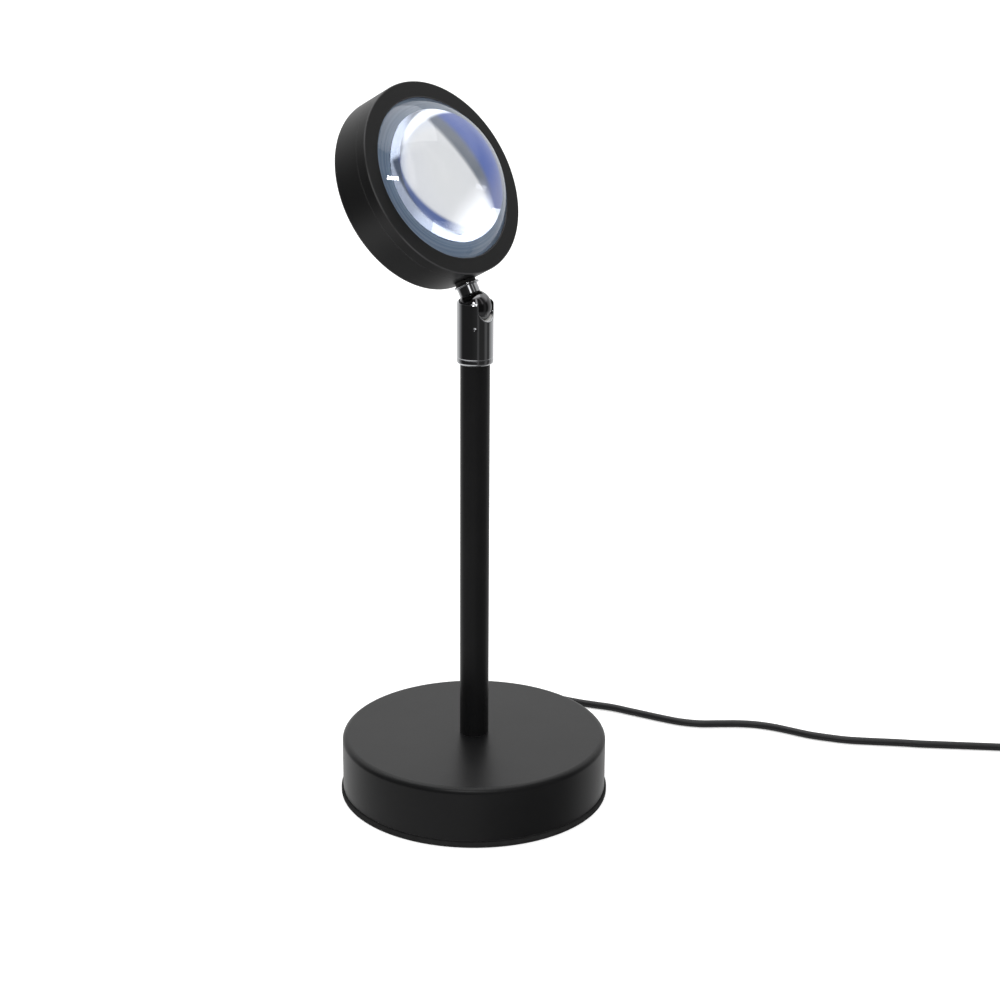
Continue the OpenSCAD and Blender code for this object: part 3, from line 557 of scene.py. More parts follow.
# %% Sleeve
def sleeve_wall(wall_rows=110, slot_columns=70, wall_columns=250, crowd=1.6):
    """The sleeve's outer and inner skin on a grid of angle and height. The height runs from the foot to a top
    that depends on the column: the rim, or inside the slot the lower half of a circle."""
    t = np.linspace(0, math.pi, slot_columns + 2)[1:-1]
    share = np.linspace(0, 1, wall_columns)
    angle = column_angles(np.full((1, slot_columns + wall_columns), sleeve_r), t, share)[0]
    past_edge = np.minimum(angle, 2*math.pi - angle)[slot_columns:] - angle[slot_columns]
    across = np.concatenate([slot_half*np.abs(np.cos(t)), slot_half + sleeve_r*past_edge])
    top = np.concatenate([slot_z - slot_half*np.sin(t), np.full(wall_columns, rim_top)])
    foot = sleeve_bottom + foot_up
    v = 1 - (1 - np.linspace(0, 1, wall_rows)[1:])**crowd
    z = np.concatenate([np.broadcast_to(foot[:, None], (len(foot), len(top))),
        foot[-1] + v[:, None]*(top - foot[-1])])
    outer, inner = skin_radii(z)
    outer, dent = round_over(outer, inner, edge_distance(across, z)), dents(angle, z)
    skins = []
    for r in (outer - dent, inner - dimple_inside*dent):
        a = column_angles(r, t, share) - math.pi/2
        skins.append(np.stack([r*np.cos(a), r*np.sin(a), z], -1))
    return np.concatenate([skins[0], skins[1][::-1]])


wall = sleeve_wall()
knuckle = new_piece("knuckle_shell", wall.reshape(-1, 3), grid_faces(*wall.shape[:2], True), sharp=35)
dress(knuckle, "swivel", "chrome", "knuckle_sleeve")

# %% [markdown]
# ## Ball and neck
#
# The ball and its neck are one turned piece. The neck's threaded end goes up into the drum, and a bore
# through both carries the wires. A sphere joined to a cylinder would need a clean seam where they meet. In
# one profile the ball's arc simply runs on into the neck.

# %% Ball and neck
ball_r = 6.1


def ball_profile(neck=3.9, neck_low=4.9, shoulder=8.0, thread=2.5, thread_end=13.9, bore=1.5):
    """The arc (radius*sin(t), -radius*cos(t)) from the bore's edge up to the neck, then the neck, the
    threaded end and back down the bore."""
    low, high = math.asin(bore/ball_r), math.pi - math.asin(neck/ball_r)
    t = np.linspace(low, high, 60)
    arc = np.stack([ball_r*np.sin(t), -ball_r*np.cos(t)], 1)
    top = rounded([(neck, neck_low), (neck, shoulder), (thread, shoulder), (thread, thread_end),
        (bore, thread_end)], [0, 0.2, 0, 0.2, 0.1])
    return np.concatenate([arc, top])


dress(turned("ball_and_neck", ball_profile(), neck_axis, 128), "head", "chrome", "ball_neck")

# %% [markdown]
# A thin washer sits between the neck's shoulder and the drum. Its outer edges are rounded by a quarter of a
# millimetre, so it shows as one bright line.

# %% Washer
washer_in, washer_out, washer_low, washer_high = 2.6, 4.75, 8.02, 8.78
washer_section = rounded([(washer_in, washer_low), (washer_out, washer_low), (washer_out, washer_high),
    (washer_in, washer_high)], [0.05, 0.25, 0.25, 0.05])
washer = turned("neck_washer_ring", washer_section, neck_axis, 96)
dress(washer, "head", "chrome", "neck_washer")

# %% [markdown]
# ## The head's drum
#
# Two turned shells make the drum: a rear housing like a shallow tin, and a bezel whose spigot pushes into it.
# The fine seam between them runs round the side a few millimetres behind the front. It could be drawn as a
# dark line in the material, but two real edges, each with its small radius, catch the light as a seam does.

# %% Rear housing
front_z, back_z, bezel_z, head_r, housing_t = 9.2, -8.3, 4.6, 37.05, 1.4
housing_section = rounded([(0, back_z), (head_r, back_z), (head_r, bezel_z), (head_r - housing_t, bezel_z),
    (head_r - housing_t, back_z + housing_t), (0, back_z + housing_t)], [0, 1.6, 0.1, 0.1, 0.5, 0], 10)
housing = turned("rear_shell", housing_section, lens_axis, 256)
dress(housing, "head", "black_aluminium", "rear_housing")

# %% Bezel
seam, lens_opening, lens_bore, seat_z = 0.03, 30.8, 32.6, 7.6
spigot_r, spigot_z = 35.6, -0.6
bezel_section = rounded([(lens_opening, front_z), (head_r, front_z), (head_r, bezel_z + seam),
    (spigot_r, bezel_z + seam), (spigot_r, spigot_z), (lens_bore, spigot_z), (lens_bore, seat_z),
    (lens_opening, seat_z)], [0.3, 0.45, 0.1, 0, 0.2, 0.2, 0.1, 0.1], 6)
bezel = turned("bezel_ring", bezel_section, lens_axis, 256)
dress(bezel, "head", "black_aluminium", "front_bezel")

# %% [markdown]
# ## The lens
#
# The lens is solid glass: a flat back, a flange that the bezel holds, and a dome that is part of a sphere.
# A scaled half sphere would bend light wrongly near the rim, so the sphere is the true one. Its radius
# follows from the dome's rim and its rise: (rim^2 + rise^2)/(2*rise).

# %% Lens
rim_r, dome_rise = 30.6, 15.4
dome_r = (rim_r**2 + dome_rise**2)/(2*dome_rise)


def lens_profile(flange_r=32.45, back=5.2):
    """The closed section: back face, flange, step, then the dome's arc from the rim to the axis."""
    centre = front_z + dome_rise - dome_r
    t = np.linspace(math.asin(rim_r/dome_r), 0, 60)
    dome = np.stack([dome_r*np.sin(t), centre + dome_r*np.cos(t)], 1)
    foot = rounded([(0, back), (flange_r, back), (flange_r, seat_z), (rim_r, seat_z)], [0, 0.3, 0.3, 0])
    return np.concatenate([foot, dome])


dress(turned("domed_lens", lens_profile(), lens_axis, 192), "head", "lens_glass", "lens")
print("dome radius:", round(dome_r, 2), "mm")

# %% [markdown]
# ## Behind the lens
#
# A coated glass disc lies behind the lens. It carries a pale moulded ring, which shows round the glass, and
# both are held by a black clamp ring. They are seen through the dome, which bends and enlarges them, so they
# are as finely made as the outside. Each is a plain section with very small rounded edges.

# %% Filter, seal and clamp ring
disc_r, disc_low, disc_high, raised_z, seal_in, seal_gap = 32.4, 3.2, 4.15, 5.23, 21.56, 0.02
middle_r = seal_in - seal_gap
filter_section = rounded([(0, disc_low), (disc_r, disc_low), (disc_r, disc_high), (middle_r, disc_high),
    (middle_r, raised_z), (0, raised_z)], [0, 0.1, 0.1, 0, 0.01, 0], 4)
colour_filter = turned("colour_filter", filter_section, lens_axis, 160)
dress(colour_filter, "head", "filter_glass", "filter_disc")
for name, inner, outer, low, high, edge, slot, node in (
    ("lens_seal", seal_in, disc_r, 4.2, raised_z, 0.02, "pale_silicone", "lens_gasket"),
    ("clamp_ring", 30.05, 32.5, 2.25, 3.18, 0.2, "black_aluminium", "retaining_ring")):
    section = rounded([(inner, low), (outer, low), (outer, high), (inner, high)], [edge]*4, 3)
    dress(turned(name, section, lens_axis, 160), "head", slot, node)

# %% [markdown]
# ## The reflector
#
# A white cup gathers the light of one small emitter behind the filter. Its side is a quarter of an ellipse,
# level at its foot and steep at its mouth. A cone would be simpler, but the curve shades softly from light
# to dark, which is what a moulded cup does.

# %% Reflector cup
def cup_profile(foot=6.5, mouth=26.0, low=-3.3, high=2.0, wall=0.9, shift=0.2, lip=0.1):
    """The cup's closed section. The inner side is (foot + width*sin(t), high - depth*cos(t)) for t from 0 to
    a quarter turn. The outer side is moved outwards at the foot and down at the mouth by the wall, and
    never goes below low."""
    t = np.linspace(0, math.pi/2, 24)
    inner = np.stack([foot + (mouth - foot)*np.sin(t), high - (high - low - lip)*np.cos(t)], 1)
    outer_z = np.maximum(inner[:, 1] - wall*np.sin(t) - lip, low)
    outer = np.stack([inner[:, 0] + wall*np.cos(t) + shift, outer_z], 1)
    return np.concatenate([inner, outer[::-1]])


dress(turned("reflector_cup", cup_profile(), lens_axis, 160), "head", "white_plastic", "reflector")

# %% [markdown]
# ## The cord's bush
#
# A soft rubber cone carries the cord out of the base, so that it can't be bent sharply at the edge of the
# metal. Ring grooves make the cone flexible. They could be drawn as bump in the material, but they show in
# the cone's outline, so they are in the profile, which is turned round the way the cord leaves.

# %% Cord bush
def bush_profile(start=50.2, collar=52.1, root_r=3.4, taper=1.1, pitch=2.4, deep=0.5):
    """Collar, then a straight cone whose radius falls by taper, less a row of smooth dips: the upper halves of
    a sine wave with the given pitch."""
    s = np.linspace(collar + 0.3, bush_reach - 0.3, 90)
    r = root_r - taper*(s - collar)/(bush_reach - collar)
    grooved = (s > collar + 2) & (s < bush_reach - 1)
    dips = deep*np.clip(np.sin(2*math.pi*(s - collar - 2)/pitch), 0, 1)*grooved
    cone = np.stack([r - dips, s], 1)
    head = [(0, start), (4.0, start), (4.2, start + 0.2), (4.2, collar - 0.35), (4.0, collar - 0.1),
        (3.55, collar)]
    return np.concatenate([head, cone, [(2.1, bush_reach), (0, bush_reach)]])


bush_axis = (np.array([0, 0, cord_exit_z]), np.cross(up_way, exit_way), up_way, exit_way)
bush = turned("cord_bush_cone", bush_profile(), bush_axis, 72, sharp=50)
dress(bush, "base", "black_rubber", "cord_bush")

# %% [markdown]
# ## Materials: helpers
#
# A material is a small graph of nodes. In the editor nodes are placed and wired by hand. Here one helper adds
# a node, sets its values and links whatever is a socket, and a few short ones stand for the nodes that are
# used most, so a material reads like a formula. Patterns use Object coordinates, in metres, because every
# piece's object sits at the origin: the pattern then has its real size on every piece.

# %% Node helpers
def add(tree, kind, options=None, at=(), **named):
    """Adds a node. options are its settings, at its inputs by number, and named its inputs by name; a socket
    among the values is linked."""
    made = tree.nodes.new("ShaderNode" + kind)
    for key, value in (options or {}).items():
        setattr(made, key, value)
    given = list(enumerate(at)) + [(key.replace("_", " "), value) for key, value in named.items()]
    for key, value in given:
        if isinstance(value, bpy.types.NodeSocket):
            tree.links.new(value, made.inputs[key])
        else:
            made.inputs[key].default_value = value
    return made


def object_place(tree):
    """The point's place on its object, in metres."""
    return add(tree, "TexCoord").outputs["Object"]


def maths(tree, operation, *values):
    """The result of a Math node. MULTIPLY_ADD is first*second + third."""
    return add(tree, "Math", {"operation": operation}, at=values).outputs[0]


def vector_maths(tree, operation, *values, **named):
    """The result of a Vector Math node: a number for a product, a length or a distance, else a vector."""
    made = add(tree, "VectorMath", {"operation": operation}, at=values, **named)
    return made.outputs["Value" if operation in ("DOT_PRODUCT", "LENGTH", "DISTANCE") else "Vector"]


def remap(tree, value, low, high, first=0.0, last=1.0, ease="LINEAR"):
    """The value's way from low to high, as a number from first to last."""
    return add(tree, "MapRange", {"interpolation_type": ease}, at=(value, low, high, first, last)).outputs[0]


def noise(tree, where, scale, detail, roughness=0.5):
    """A noise with about scale bumps to the metre."""
    return add(tree, "TexNoise", Vector=where, Scale=scale, Detail=detail, Roughness=roughness).outputs[0]


print("a noise of scale 420 has a bump about every", round(1000/420, 1), "mm")

# %% [markdown]
# Two more helpers deal with colour. A mix goes from one colour to another by a mask, and a ramp gives a value
# between 0 and 1 a colour from a few stops.

# %% Colour helpers
def mixed(tree, first, second, mask):
    """Two colours mixed by a mask socket. A colour may be three numbers or a socket."""
    mix = add(tree, "Mix", {"data_type": "RGBA"})
    tree.links.new(mask, mix.inputs[0])
    for place, colour in ((6, first), (7, second)):
        if isinstance(colour, bpy.types.NodeSocket):
            tree.links.new(colour, mix.inputs[place])
        else:
            mix.inputs[place].default_value = (*colour, 1)
    return mix.outputs[2]


def colour_ramp(tree, value, stops):
    """A ramp over a value. Each stop is a place from 0 to 1 and a tone: a colour, or one number for a grey."""
    ramp = add(tree, "ValToRGB", at=(value,))
    while len(ramp.color_ramp.elements) < len(stops):
        ramp.color_ramp.elements.new(0.5)
    for element, (place, tone) in zip(ramp.color_ramp.elements, stops):
        element.position = place
        element.color = (*(tone if isinstance(tone, tuple) else (tone, tone, tone)), 1)
    return ramp.outputs[0]


finishes = {}
print("finishes so far:", len(finishes))

# %% [markdown]
# A material starts with the Principled shader. What is the same all over a surface, such as its index or
# its sheen, is set on the shader's own sockets. What changes over the surface comes from masks, which are
# linked to its colour, its roughness and its bump.

# %% Material helpers
def material(name, colour, roughness=0.5, **constants):
    """A Principled material with a plain colour and roughness, and constants set on its own sockets. It
    returns the material, its tree and its shader, so that masks can be linked on top."""
    made = bpy.data.materials.new(name)
    made.use_nodes = True
    tree = made.node_tree
    shader = tree.nodes["Principled BSDF"]
    for key, value in constants.items():
        shader.inputs[key.replace("_", " ")].default_value = value
    shader.inputs["Base Color"].default_value = (*colour, 1)
    shader.inputs["Roughness"].default_value = roughness
    made.diffuse_color = (*colour, 1)
    return made, tree, shader


def finish_with(tree, shader, colour=None, roughness=None, height=None, bump=0.0001):
    """Links the masks of a finish to the shader: its colour, its roughness, and a bump in metres."""
    for label, socket in (("Base Color", colour), ("Roughness", roughness)):
        if socket is not None:
            tree.links.new(socket, shader.inputs[label])
    if height is not None:
        relief = add(tree, "Bump", Height=height, Distance=bump)
        tree.links.new(relief.outputs["Normal"], shader.inputs["Normal"])


print("CAD nodes that wait for a finish:", len(nodes))

# %% [markdown]
# ## Shared finishes
#
# Several pieces share the same small effects: a coat's grain, polishing marks, foam's cells, worn edges and
# dust. They could be copied into each material, but a node group is built once and placed in each with its
# own values, so that one change reaches all of them. A group puts out masks and heights only, and each
# material decides what to do with them.

# %% Group helpers
def new_group(name, inputs, outputs):
    """A node group with number inputs (name, default) and number outputs, and its two end nodes."""
    tree = bpy.data.node_groups.new(name, "ShaderNodeTree")
    for label, default in inputs:
        socket = tree.interface.new_socket(label, in_out="INPUT", socket_type="NodeSocketFloat")
        socket.default_value = default
    for label in outputs:
        tree.interface.new_socket(label, in_out="OUTPUT", socket_type="NodeSocketFloat")
    return tree, tree.nodes.new("NodeGroupInput").outputs, tree.nodes.new("NodeGroupOutput").inputs


def put_out(tree, out, **results):
    """Links each result to the group's output of that name."""
    for label, socket in results.items():
        tree.links.new(socket, out[label])
    print("group:", tree.name, "gives", ", ".join(results))
    return tree


def use(tree, group, **values):
    """Places a group in a material with its own values."""
    made = add(tree, "Group", {"node_tree": group})
    for key, value in values.items():
        made.inputs[key.replace("_", " ")].default_value = value
    return made.outputs


print("node groups so far:", len(bpy.data.node_groups))

# %% [markdown]
# ### Powder grain
#
# A powder coat melts into a skin that is smooth but never quite flat, like the peel of an orange. A single
# noise would look like sand. Three sizes together look like a coat: fine bumps, a little of a middle size,
# and a broad one for how evenly the powder was sprayed.

# %% Group: powder grain
def grain_group(middle_size=420.0, broad_size=38.0):
    """Roughness is the given value, plus a share of (0.4*fine + broad - 0.7). Height is the fine noise plus
    0.35 of the middle one, and Mask is the broad one."""
    inputs = [("Grain size", 0.0004), ("Roughness", 0.45), ("Spread", 0.06)]
    tree, into, out = new_group("powder_grain", inputs, ["Mask", "Roughness", "Height"])
    where = object_place(tree)
    fine = noise(tree, where, maths(tree, "DIVIDE", 1.0, into["Grain size"]), 2.0, 0.55)
    middle = noise(tree, where, middle_size, 2.0)
    broad = noise(tree, where, broad_size, 3.0, 0.6)
    off = maths(tree, "SUBTRACT", maths(tree, "MULTIPLY_ADD", fine, 0.4, broad), 0.7)
    rough = maths(tree, "MULTIPLY_ADD", off, into["Spread"], into["Roughness"])
    high = maths(tree, "MULTIPLY_ADD", middle, 0.35, fine)
    return put_out(tree, out, Mask=broad, Roughness=rough, Height=high)


powder_grain = grain_group()

# %% [markdown]
# ### Polishing marks
#
# Polishing leaves hairlines too fine to count and cloudy patches of a slightly different gloss. Hairlines
# could be drawn one by one as curves. A noise that is squeezed about forty times in height gives them all, and
# they run level round each piece.

# %% Group: polishing marks
def polish_group(squeeze=(60, 60, 2600), cloud_size=220.0):
    """Height is a noise squeezed into hairlines. Roughness is the given value plus a share of the clouds, a
    broad noise whose middle tones are spread from 0 to 1."""
    tree, into, out = new_group("polish_marks", [("Roughness", 0.08), ("Spread", 0.05)],
        ["Mask", "Roughness", "Height"])
    where = object_place(tree)
    squeezed = add(tree, "Mapping", Vector=where, Scale=squeeze).outputs[0]
    hairlines = noise(tree, squeezed, 1.0, 4.0, 0.7)
    clouds = remap(tree, noise(tree, where, cloud_size, 3.0), 0.35, 0.75)
    rough = maths(tree, "MULTIPLY_ADD", clouds, into["Spread"], into["Roughness"])
    return put_out(tree, out, Mask=clouds, Roughness=rough, Height=hairlines)


polish_marks = polish_group()

# %% [markdown]
# ### Small cells
#
# Foam is a mass of tiny bubbles, and loop tape is a mass of tiny loops. From a hand's distance both are one
# pattern: round cells of one size. The cell texture gives the distance to the nearest cell's centre, which
# makes each cell a pit, and a noise varies the colour from place to place.

# %% Group: small cells
def cell_group(tone_size=300.0):
    """Height is the distance to the nearest cell's centre, and Mask a broad noise for the colour."""
    tree, into, out = new_group("cells", [("Cell size", 0.0005)], ["Mask", "Height"])
    where = object_place(tree)
    pits = add(tree, "TexVoronoi", Vector=where, Scale=maths(tree, "DIVIDE", 1.0, into["Cell size"]))
    return put_out(tree, out, Mask=noise(tree, where, tone_size, 3.0), Height=pits.outputs["Distance"])


cells = cell_group()

# %% [markdown]
# ### Worn edges and painted highlight lines
#
# Hands and cloths rub a coat thin along its outer edges. The lighter line there is partly that wear and partly
# a painted highlight, the bright thread that a rounded edge catches. The line could be drawn on an image, but
# the attribute that each mesh carries already says where an edge is and how sharp. The two tiny edges of a
# seam shelter each other, so the line ends again where the bend is very sharp, and a noise breaks it up,
# because no edge wears evenly.

# %% Group: worn edges and painted edge highlights
def edge_group(sheltered=(4500.0, 7000.0), patch_size=90.0):
    """The line of wear and painted highlight starts where an edge's radius is 0.7 mm, is full at 0.35 mm, and
    fades out between the two sheltered bends. The mask is that line, times the open part, times the patches."""
    tree, into, out = new_group("edge_wear_and_highlight", [("Start", 1400.0), ("Full", 2800.0)], ["Mask"])
    ridge = add(tree, "Attribute", {"attribute_name": "bend"}).outputs["Fac"]
    line = remap(tree, ridge, into["Start"], into["Full"])
    open_edge = remap(tree, ridge, *sheltered, 1.0, 0.0)
    patches = remap(tree, noise(tree, object_place(tree), patch_size, 3.0), 0.3, 0.6, 0.45, 1.0)
    return put_out(tree, out, Mask=maths(tree, "MULTIPLY", maths(tree, "MULTIPLY", line, patches), open_edge))


edge_wear_and_highlight = edge_group()

# %% [markdown]
# ### Dust
#
# Dust lies where a surface looks up. Loose grains could be scattered as little objects, but they are far
# smaller than a pixel. The height of the surface's normal picks the place, and a very fine noise above a
# threshold makes the specks.

# %% Group: dust
def dust_group(speck_size=2600.0):
    """The mask is how far the surface looks up, times the specks, times the amount."""
    tree, into, out = new_group("dust", [("Amount", 0.5)], ["Mask"])
    facing = add(tree, "SeparateXYZ", at=(add(tree, "NewGeometry").outputs["Normal"],)).outputs[2]
    looking_up = remap(tree, facing, 0.3, 0.95)
    specks = remap(tree, noise(tree, object_place(tree), speck_size, 1.0), 0.66, 0.74)
    lying = maths(tree, "MULTIPLY", looking_up, specks)
    return put_out(tree, out, Mask=maths(tree, "MULTIPLY", lying, into["Amount"]))


dust = dust_group()

# %% [markdown]
# ### Distance from the lens's axis
#
# Two finishes go round the lens's axis: the filter's coating and the moulded ring. Both need one number, how
# far a point is from that axis. A separate object could mark the axis, but only the piece's own coordinates
# last, so the group works the distance out from them.

# %% Group: distance from the lens's axis
def lens_radius_group():
    """The point less the head's centre, with its part along the axis taken away: the length of what is left
    is the radius, in metres."""
    tree, _, out = new_group("lens_radius", [], ["Radius"])
    axis = tuple(lens_way)
    away = vector_maths(tree, "SUBTRACT", object_place(tree), tuple(head_centre*MM))
    part = vector_maths(tree, "SCALE", axis, Scale=vector_maths(tree, "DOT_PRODUCT", away, axis))
    flat = vector_maths(tree, "SUBTRACT", away, part)
    return put_out(tree, out, Radius=vector_maths(tree, "LENGTH", flat))


lens_radius = lens_radius_group()

# %% [markdown]
# ## The lamp's finishes
#
# The black parts have a satin powder coat. The base colour is nearly black, and what the eye sees as grey is
# mostly the room in the coat, so a darker or lighter look is set by the room and the roughness rather than by
# the colour. Along the edges the coat is a little lighter, partly from wear and partly as a painted highlight,
# and smoother, and a trace of dust lies on top.

# %% Powder coats
dust_grey, worn_gloss = (0.16, 0.16, 0.155), -0.14


def coat(name, colour, second, roughness, spread, grain, bump, specular, wear_and_highlight=None, dusty=0.0):
    """A coat of two close colours with a grain. wear_and_highlight is its edges' lighter colour, partly wear
    and partly a painted highlight, and dusty is how much dust it has. The grain's size and the bump are in
    metres."""
    made, tree, shader = material(name, colour, Specular_IOR_Level=specular)
    g = use(tree, powder_grain, Roughness=roughness, Spread=spread, Grain_size=grain)
    tone, gloss = mixed(tree, colour, second, g["Mask"]), g["Roughness"]
    if wear_and_highlight:
        # The lighter edge colour: partly rubbed wear, partly a painted highlight line.
        edge = use(tree, edge_wear_and_highlight)["Mask"]
        tone = mixed(tree, tone, wear_and_highlight, edge)
        gloss = maths(tree, "MULTIPLY_ADD", edge, worn_gloss, gloss)
    if dusty:
        tone = mixed(tree, tone, dust_grey, use(tree, dust, Amount=dusty)["Mask"])
    finish_with(tree, shader, tone, gloss, g["Height"], bump)
    return made


# The edge colours are partly wear and partly a painted highlight line, lightest on the aluminium.
finishes["black_steel"] = coat("satin_black_steel", (0.0045, 0.0045, 0.0048), (0.008, 0.008, 0.0085),
    roughness=0.36, spread=0.10, grain=0.0005, bump=0.000012, specular=0.25,
    wear_and_highlight=(0.03, 0.03, 0.031), dusty=0.12)
finishes["black_aluminium"] = coat("satin_black_aluminium", (0.0045, 0.0045, 0.0048), (0.008, 0.008, 0.0082),
    roughness=0.38, spread=0.10, grain=0.0004, bump=0.000010, specular=0.27,
    wear_and_highlight=(0.07, 0.07, 0.072), dusty=0.12)
print("finishes:", ", ".join(finishes))

# %% [markdown]
# Rubber, moulded plastic, lacquered boards and insulated wire are coats as well, as far as light is
# concerned: a coloured body under a skin with some gloss and a fine grain. So they share the recipe, and one
# table holds what differs. Rubber is dull, the smoked cap is glossy, and the cord's sheath is between them.

# %% Rubber, plastics and boards
coat_table = [
    # slot, material, its two colours
    # roughness, spread, grain, bump, specular level
    ("black_rubber", "moulded_rubber", (0.010, 0.010, 0.0105), (0.018, 0.018, 0.018),
        0.62, 0.2, 0.0006, 0.00002, 0.3),
    ("cord_sheath", "cord_sheath", (0.009, 0.009, 0.010), (0.015, 0.015, 0.016),
        0.42, 0.15, 0.0009, 0.00002, 0.35),
    ("dark_plastic", "smoked_plastic", (0.012, 0.008, 0.014), (0.02, 0.014, 0.022),
        0.2, 0.1, 0.0008, 0.00001, 0.5),
    ("white_plastic", "white_moulding", (0.84, 0.84, 0.82), (0.88, 0.88, 0.86),
        0.38, 0.12, 0.0008, 0.00001, 0.5),
    ("led_core", "white_solder_mask", (0.82, 0.82, 0.80), (0.88, 0.88, 0.85),
        0.45, 0.1, 0.0005, 0.00002, 0.5),
    ("phosphor", "phosphor", (0.90, 0.74, 0.18), (0.93, 0.82, 0.30),
        0.3, 0.15, 0.0003, 0.00001, 0.5),
    ("green_board", "green_solder_mask", (0.02, 0.15, 0.055), (0.035, 0.21, 0.08),
        0.32, 0.15, 0.0007, 0.00002, 0.5),
    ("red_wire", "wire_sleeve", (0.45, 0.03, 0.025), (0.55, 0.05, 0.04),
        0.4, 0.15, 0.0006, 0.00001, 0.5)]
for slot, *recipe in coat_table:
    finishes[slot] = coat(*recipe)
print("finishes:", len(finishes))

# %% [markdown]
# ### Metals
#
# Metals are the same shader with Metallic at one. Chrome is nearly a mirror, so it takes all its looks from
# the room, and only faint polishing marks are drawn. Zinc plate, brass, iron and raw aluminium are duller.
# The ball is the same chrome piece as its neck, but its skin is darkened by painted shade, which stands for
# the shade inside the sleeve's slot. That could be a second material on part of the mesh. A distance from the
# ball's centre needs no borders.

# %% Metals
# How far the ball's painted shade reaches from its centre, just over its radius.
slot_shade_reach = 6.16*MM


def metal(name, colour, second, roughness, spread, bump, group=None, slot_shade=None):
    """A bare metal of two close colours. slot_shade is a darker colour on the ball's skin, painted shade for
    the sleeve's slot: it shows on points that are nearer to the ball's centre than slot_shade_reach, just over
    the ball's radius."""
    made, tree, shader = material(name, colour, Metallic=1.0)
    g = use(tree, group or polish_marks, Roughness=roughness, Spread=spread)
    tone = mixed(tree, colour, second, g["Mask"])
    # Painted shade: the ball's skin is darker, for the shade inside the sleeve's slot.
    if slot_shade:
        reach = vector_maths(tree, "DISTANCE", object_place(tree), tuple(ball_at*MM))
        tone = mixed(tree, tone, slot_shade, maths(tree, "LESS_THAN", reach, slot_shade_reach))
    finish_with(tree, shader, tone, g["Roughness"], g["Height"], bump)
    return made


# The chrome's last colour is the painted shade on the ball.
finishes["chrome"] = metal("chrome", (0.60, 0.61, 0.63), (0.64, 0.645, 0.66), 0.05, 0.06, 0.0000006,
    slot_shade=(0.16, 0.16, 0.165))
finishes["plated_steel"] = metal("zinc_plate", (0.50, 0.51, 0.53), (0.60, 0.60, 0.60), 0.26, 0.15, 0.000004)
finishes["brass"] = metal("turned_brass", (0.66, 0.50, 0.22), (0.74, 0.58, 0.30), 0.22, 0.14, 0.000004)
finishes["bare_aluminium"] = metal("milled_aluminium", (0.72, 0.73, 0.75), (0.80, 0.80, 0.81), 0.3, 0.15,
    0.000005)
finishes["iron"] = metal("cast_iron", (0.10, 0.10, 0.10), (0.17, 0.165, 0.16), 0.55, 0.25, 0.00006,
    powder_grain)
print("finishes:", len(finishes))

# %% [markdown]
# ### Foam and the strap
#
# Foam's cells are open pits that swallow light, so it is the dullest black of the lamp. The strap is a loop
# tape, whose fine loops catch light at a glancing angle. That is what the shader's sheen is for.

# %% Foam and strap
def celled(name, colour, second, size, bump, roughness, **constants):
    """A dull material of two close colours, whose cells have the given size and depth in metres."""
    made, tree, shader = material(name, colour, roughness=roughness, **constants)
    g = use(tree, cells, Cell_size=size)
    finish_with(tree, shader, mixed(tree, colour, second, g["Mask"]), None, g["Height"], bump)
    return made


finishes["foam"] = celled("closed_cell_foam", (0.008, 0.008, 0.008), (0.018, 0.018, 0.018),
    size=0.0005, bump=0.0001, roughness=0.92, Specular_IOR_Level=0.2)
finishes["strap"] = celled("loop_tape", (0.010, 0.010, 0.011), (0.028, 0.028, 0.03),
    size=0.00045, bump=0.00018, roughness=0.85, Sheen_Weight=0.3, Sheen_Roughness=0.5)
print("finishes:", len(finishes))

# %% [markdown]
# ## Glass
#
# The lens is one solid of clear glass. A thin shell with a glass look wouldn't magnify what is behind it, but
# in a closed solid the renderer bends each ray by the glass's index, going in and coming out. The marks of
# polishing are far too fine to see, and only keep the highlights from being perfect.

# %% Lens glass
def glass(index=1.5, marks=0.0000002):
    """Clear glass of a given index, with marks as deep as the given metres."""
    made, tree, shader = material("clear_glass", (0.985, 0.992, 1.0), roughness=0.0, Transmission_Weight=1.0,
        IOR=index)
    finish_with(tree, shader, height=use(tree, polish_marks)["Height"], bump=marks)
    return made


finishes["lens_glass"] = glass()
print("glass index:", finishes["lens_glass"].node_tree.nodes["Principled BSDF"].inputs["IOR"].default_value)

# %% [markdown]
# ### The filter's coating
#
# The filter has a coating of thin layers that mirrors part of the light: silvery in the middle and bluer
# towards the rim, where light meets it at a slant. Thin layers can be computed from their thickness. What
# the eye sees is a slow change of colour with the radius, so a ramp over the radius is enough, and a small
# wobble keeps its rings from looking drawn with compasses.

# %% Filter glass
def filter_glass(widest=0.034, wobble_size=60.0, wobble_reach=0.0012):
    """The distance from the lens's axis, plus a small noise, picks the coating's colour from a ramp."""
    made, tree, shader = material("coated_filter", (0.8, 0.82, 0.86), roughness=0.02, Metallic=1.0)
    wobble = noise(tree, object_place(tree), wobble_size, 2.0)
    radius = maths(tree, "MULTIPLY_ADD", wobble, wobble_reach, use(tree, lens_radius)["Radius"])
    coating = colour_ramp(tree, remap(tree, radius, 0.0, widest), [(0.0, (0.61, 0.62, 0.63)),
        (0.42, (0.61, 0.62, 0.64)), (0.50, (0.57, 0.60, 0.66)), (0.64, (0.55, 0.59, 0.67))])
    finish_with(tree, shader, coating)
    return made


finishes["filter_glass"] = filter_glass()
print("finishes:", len(finishes))

# %% [markdown]
# ### The moulded ring
#
# The pale ring is moulded silicone, and the turned mould has left fine circles on it. They could be cut into
# the profile, but they are only tenths of a millimetre wide and fade here and there. A noise that has only
# one dimension, the radius, gives circles of uneven width and strength.

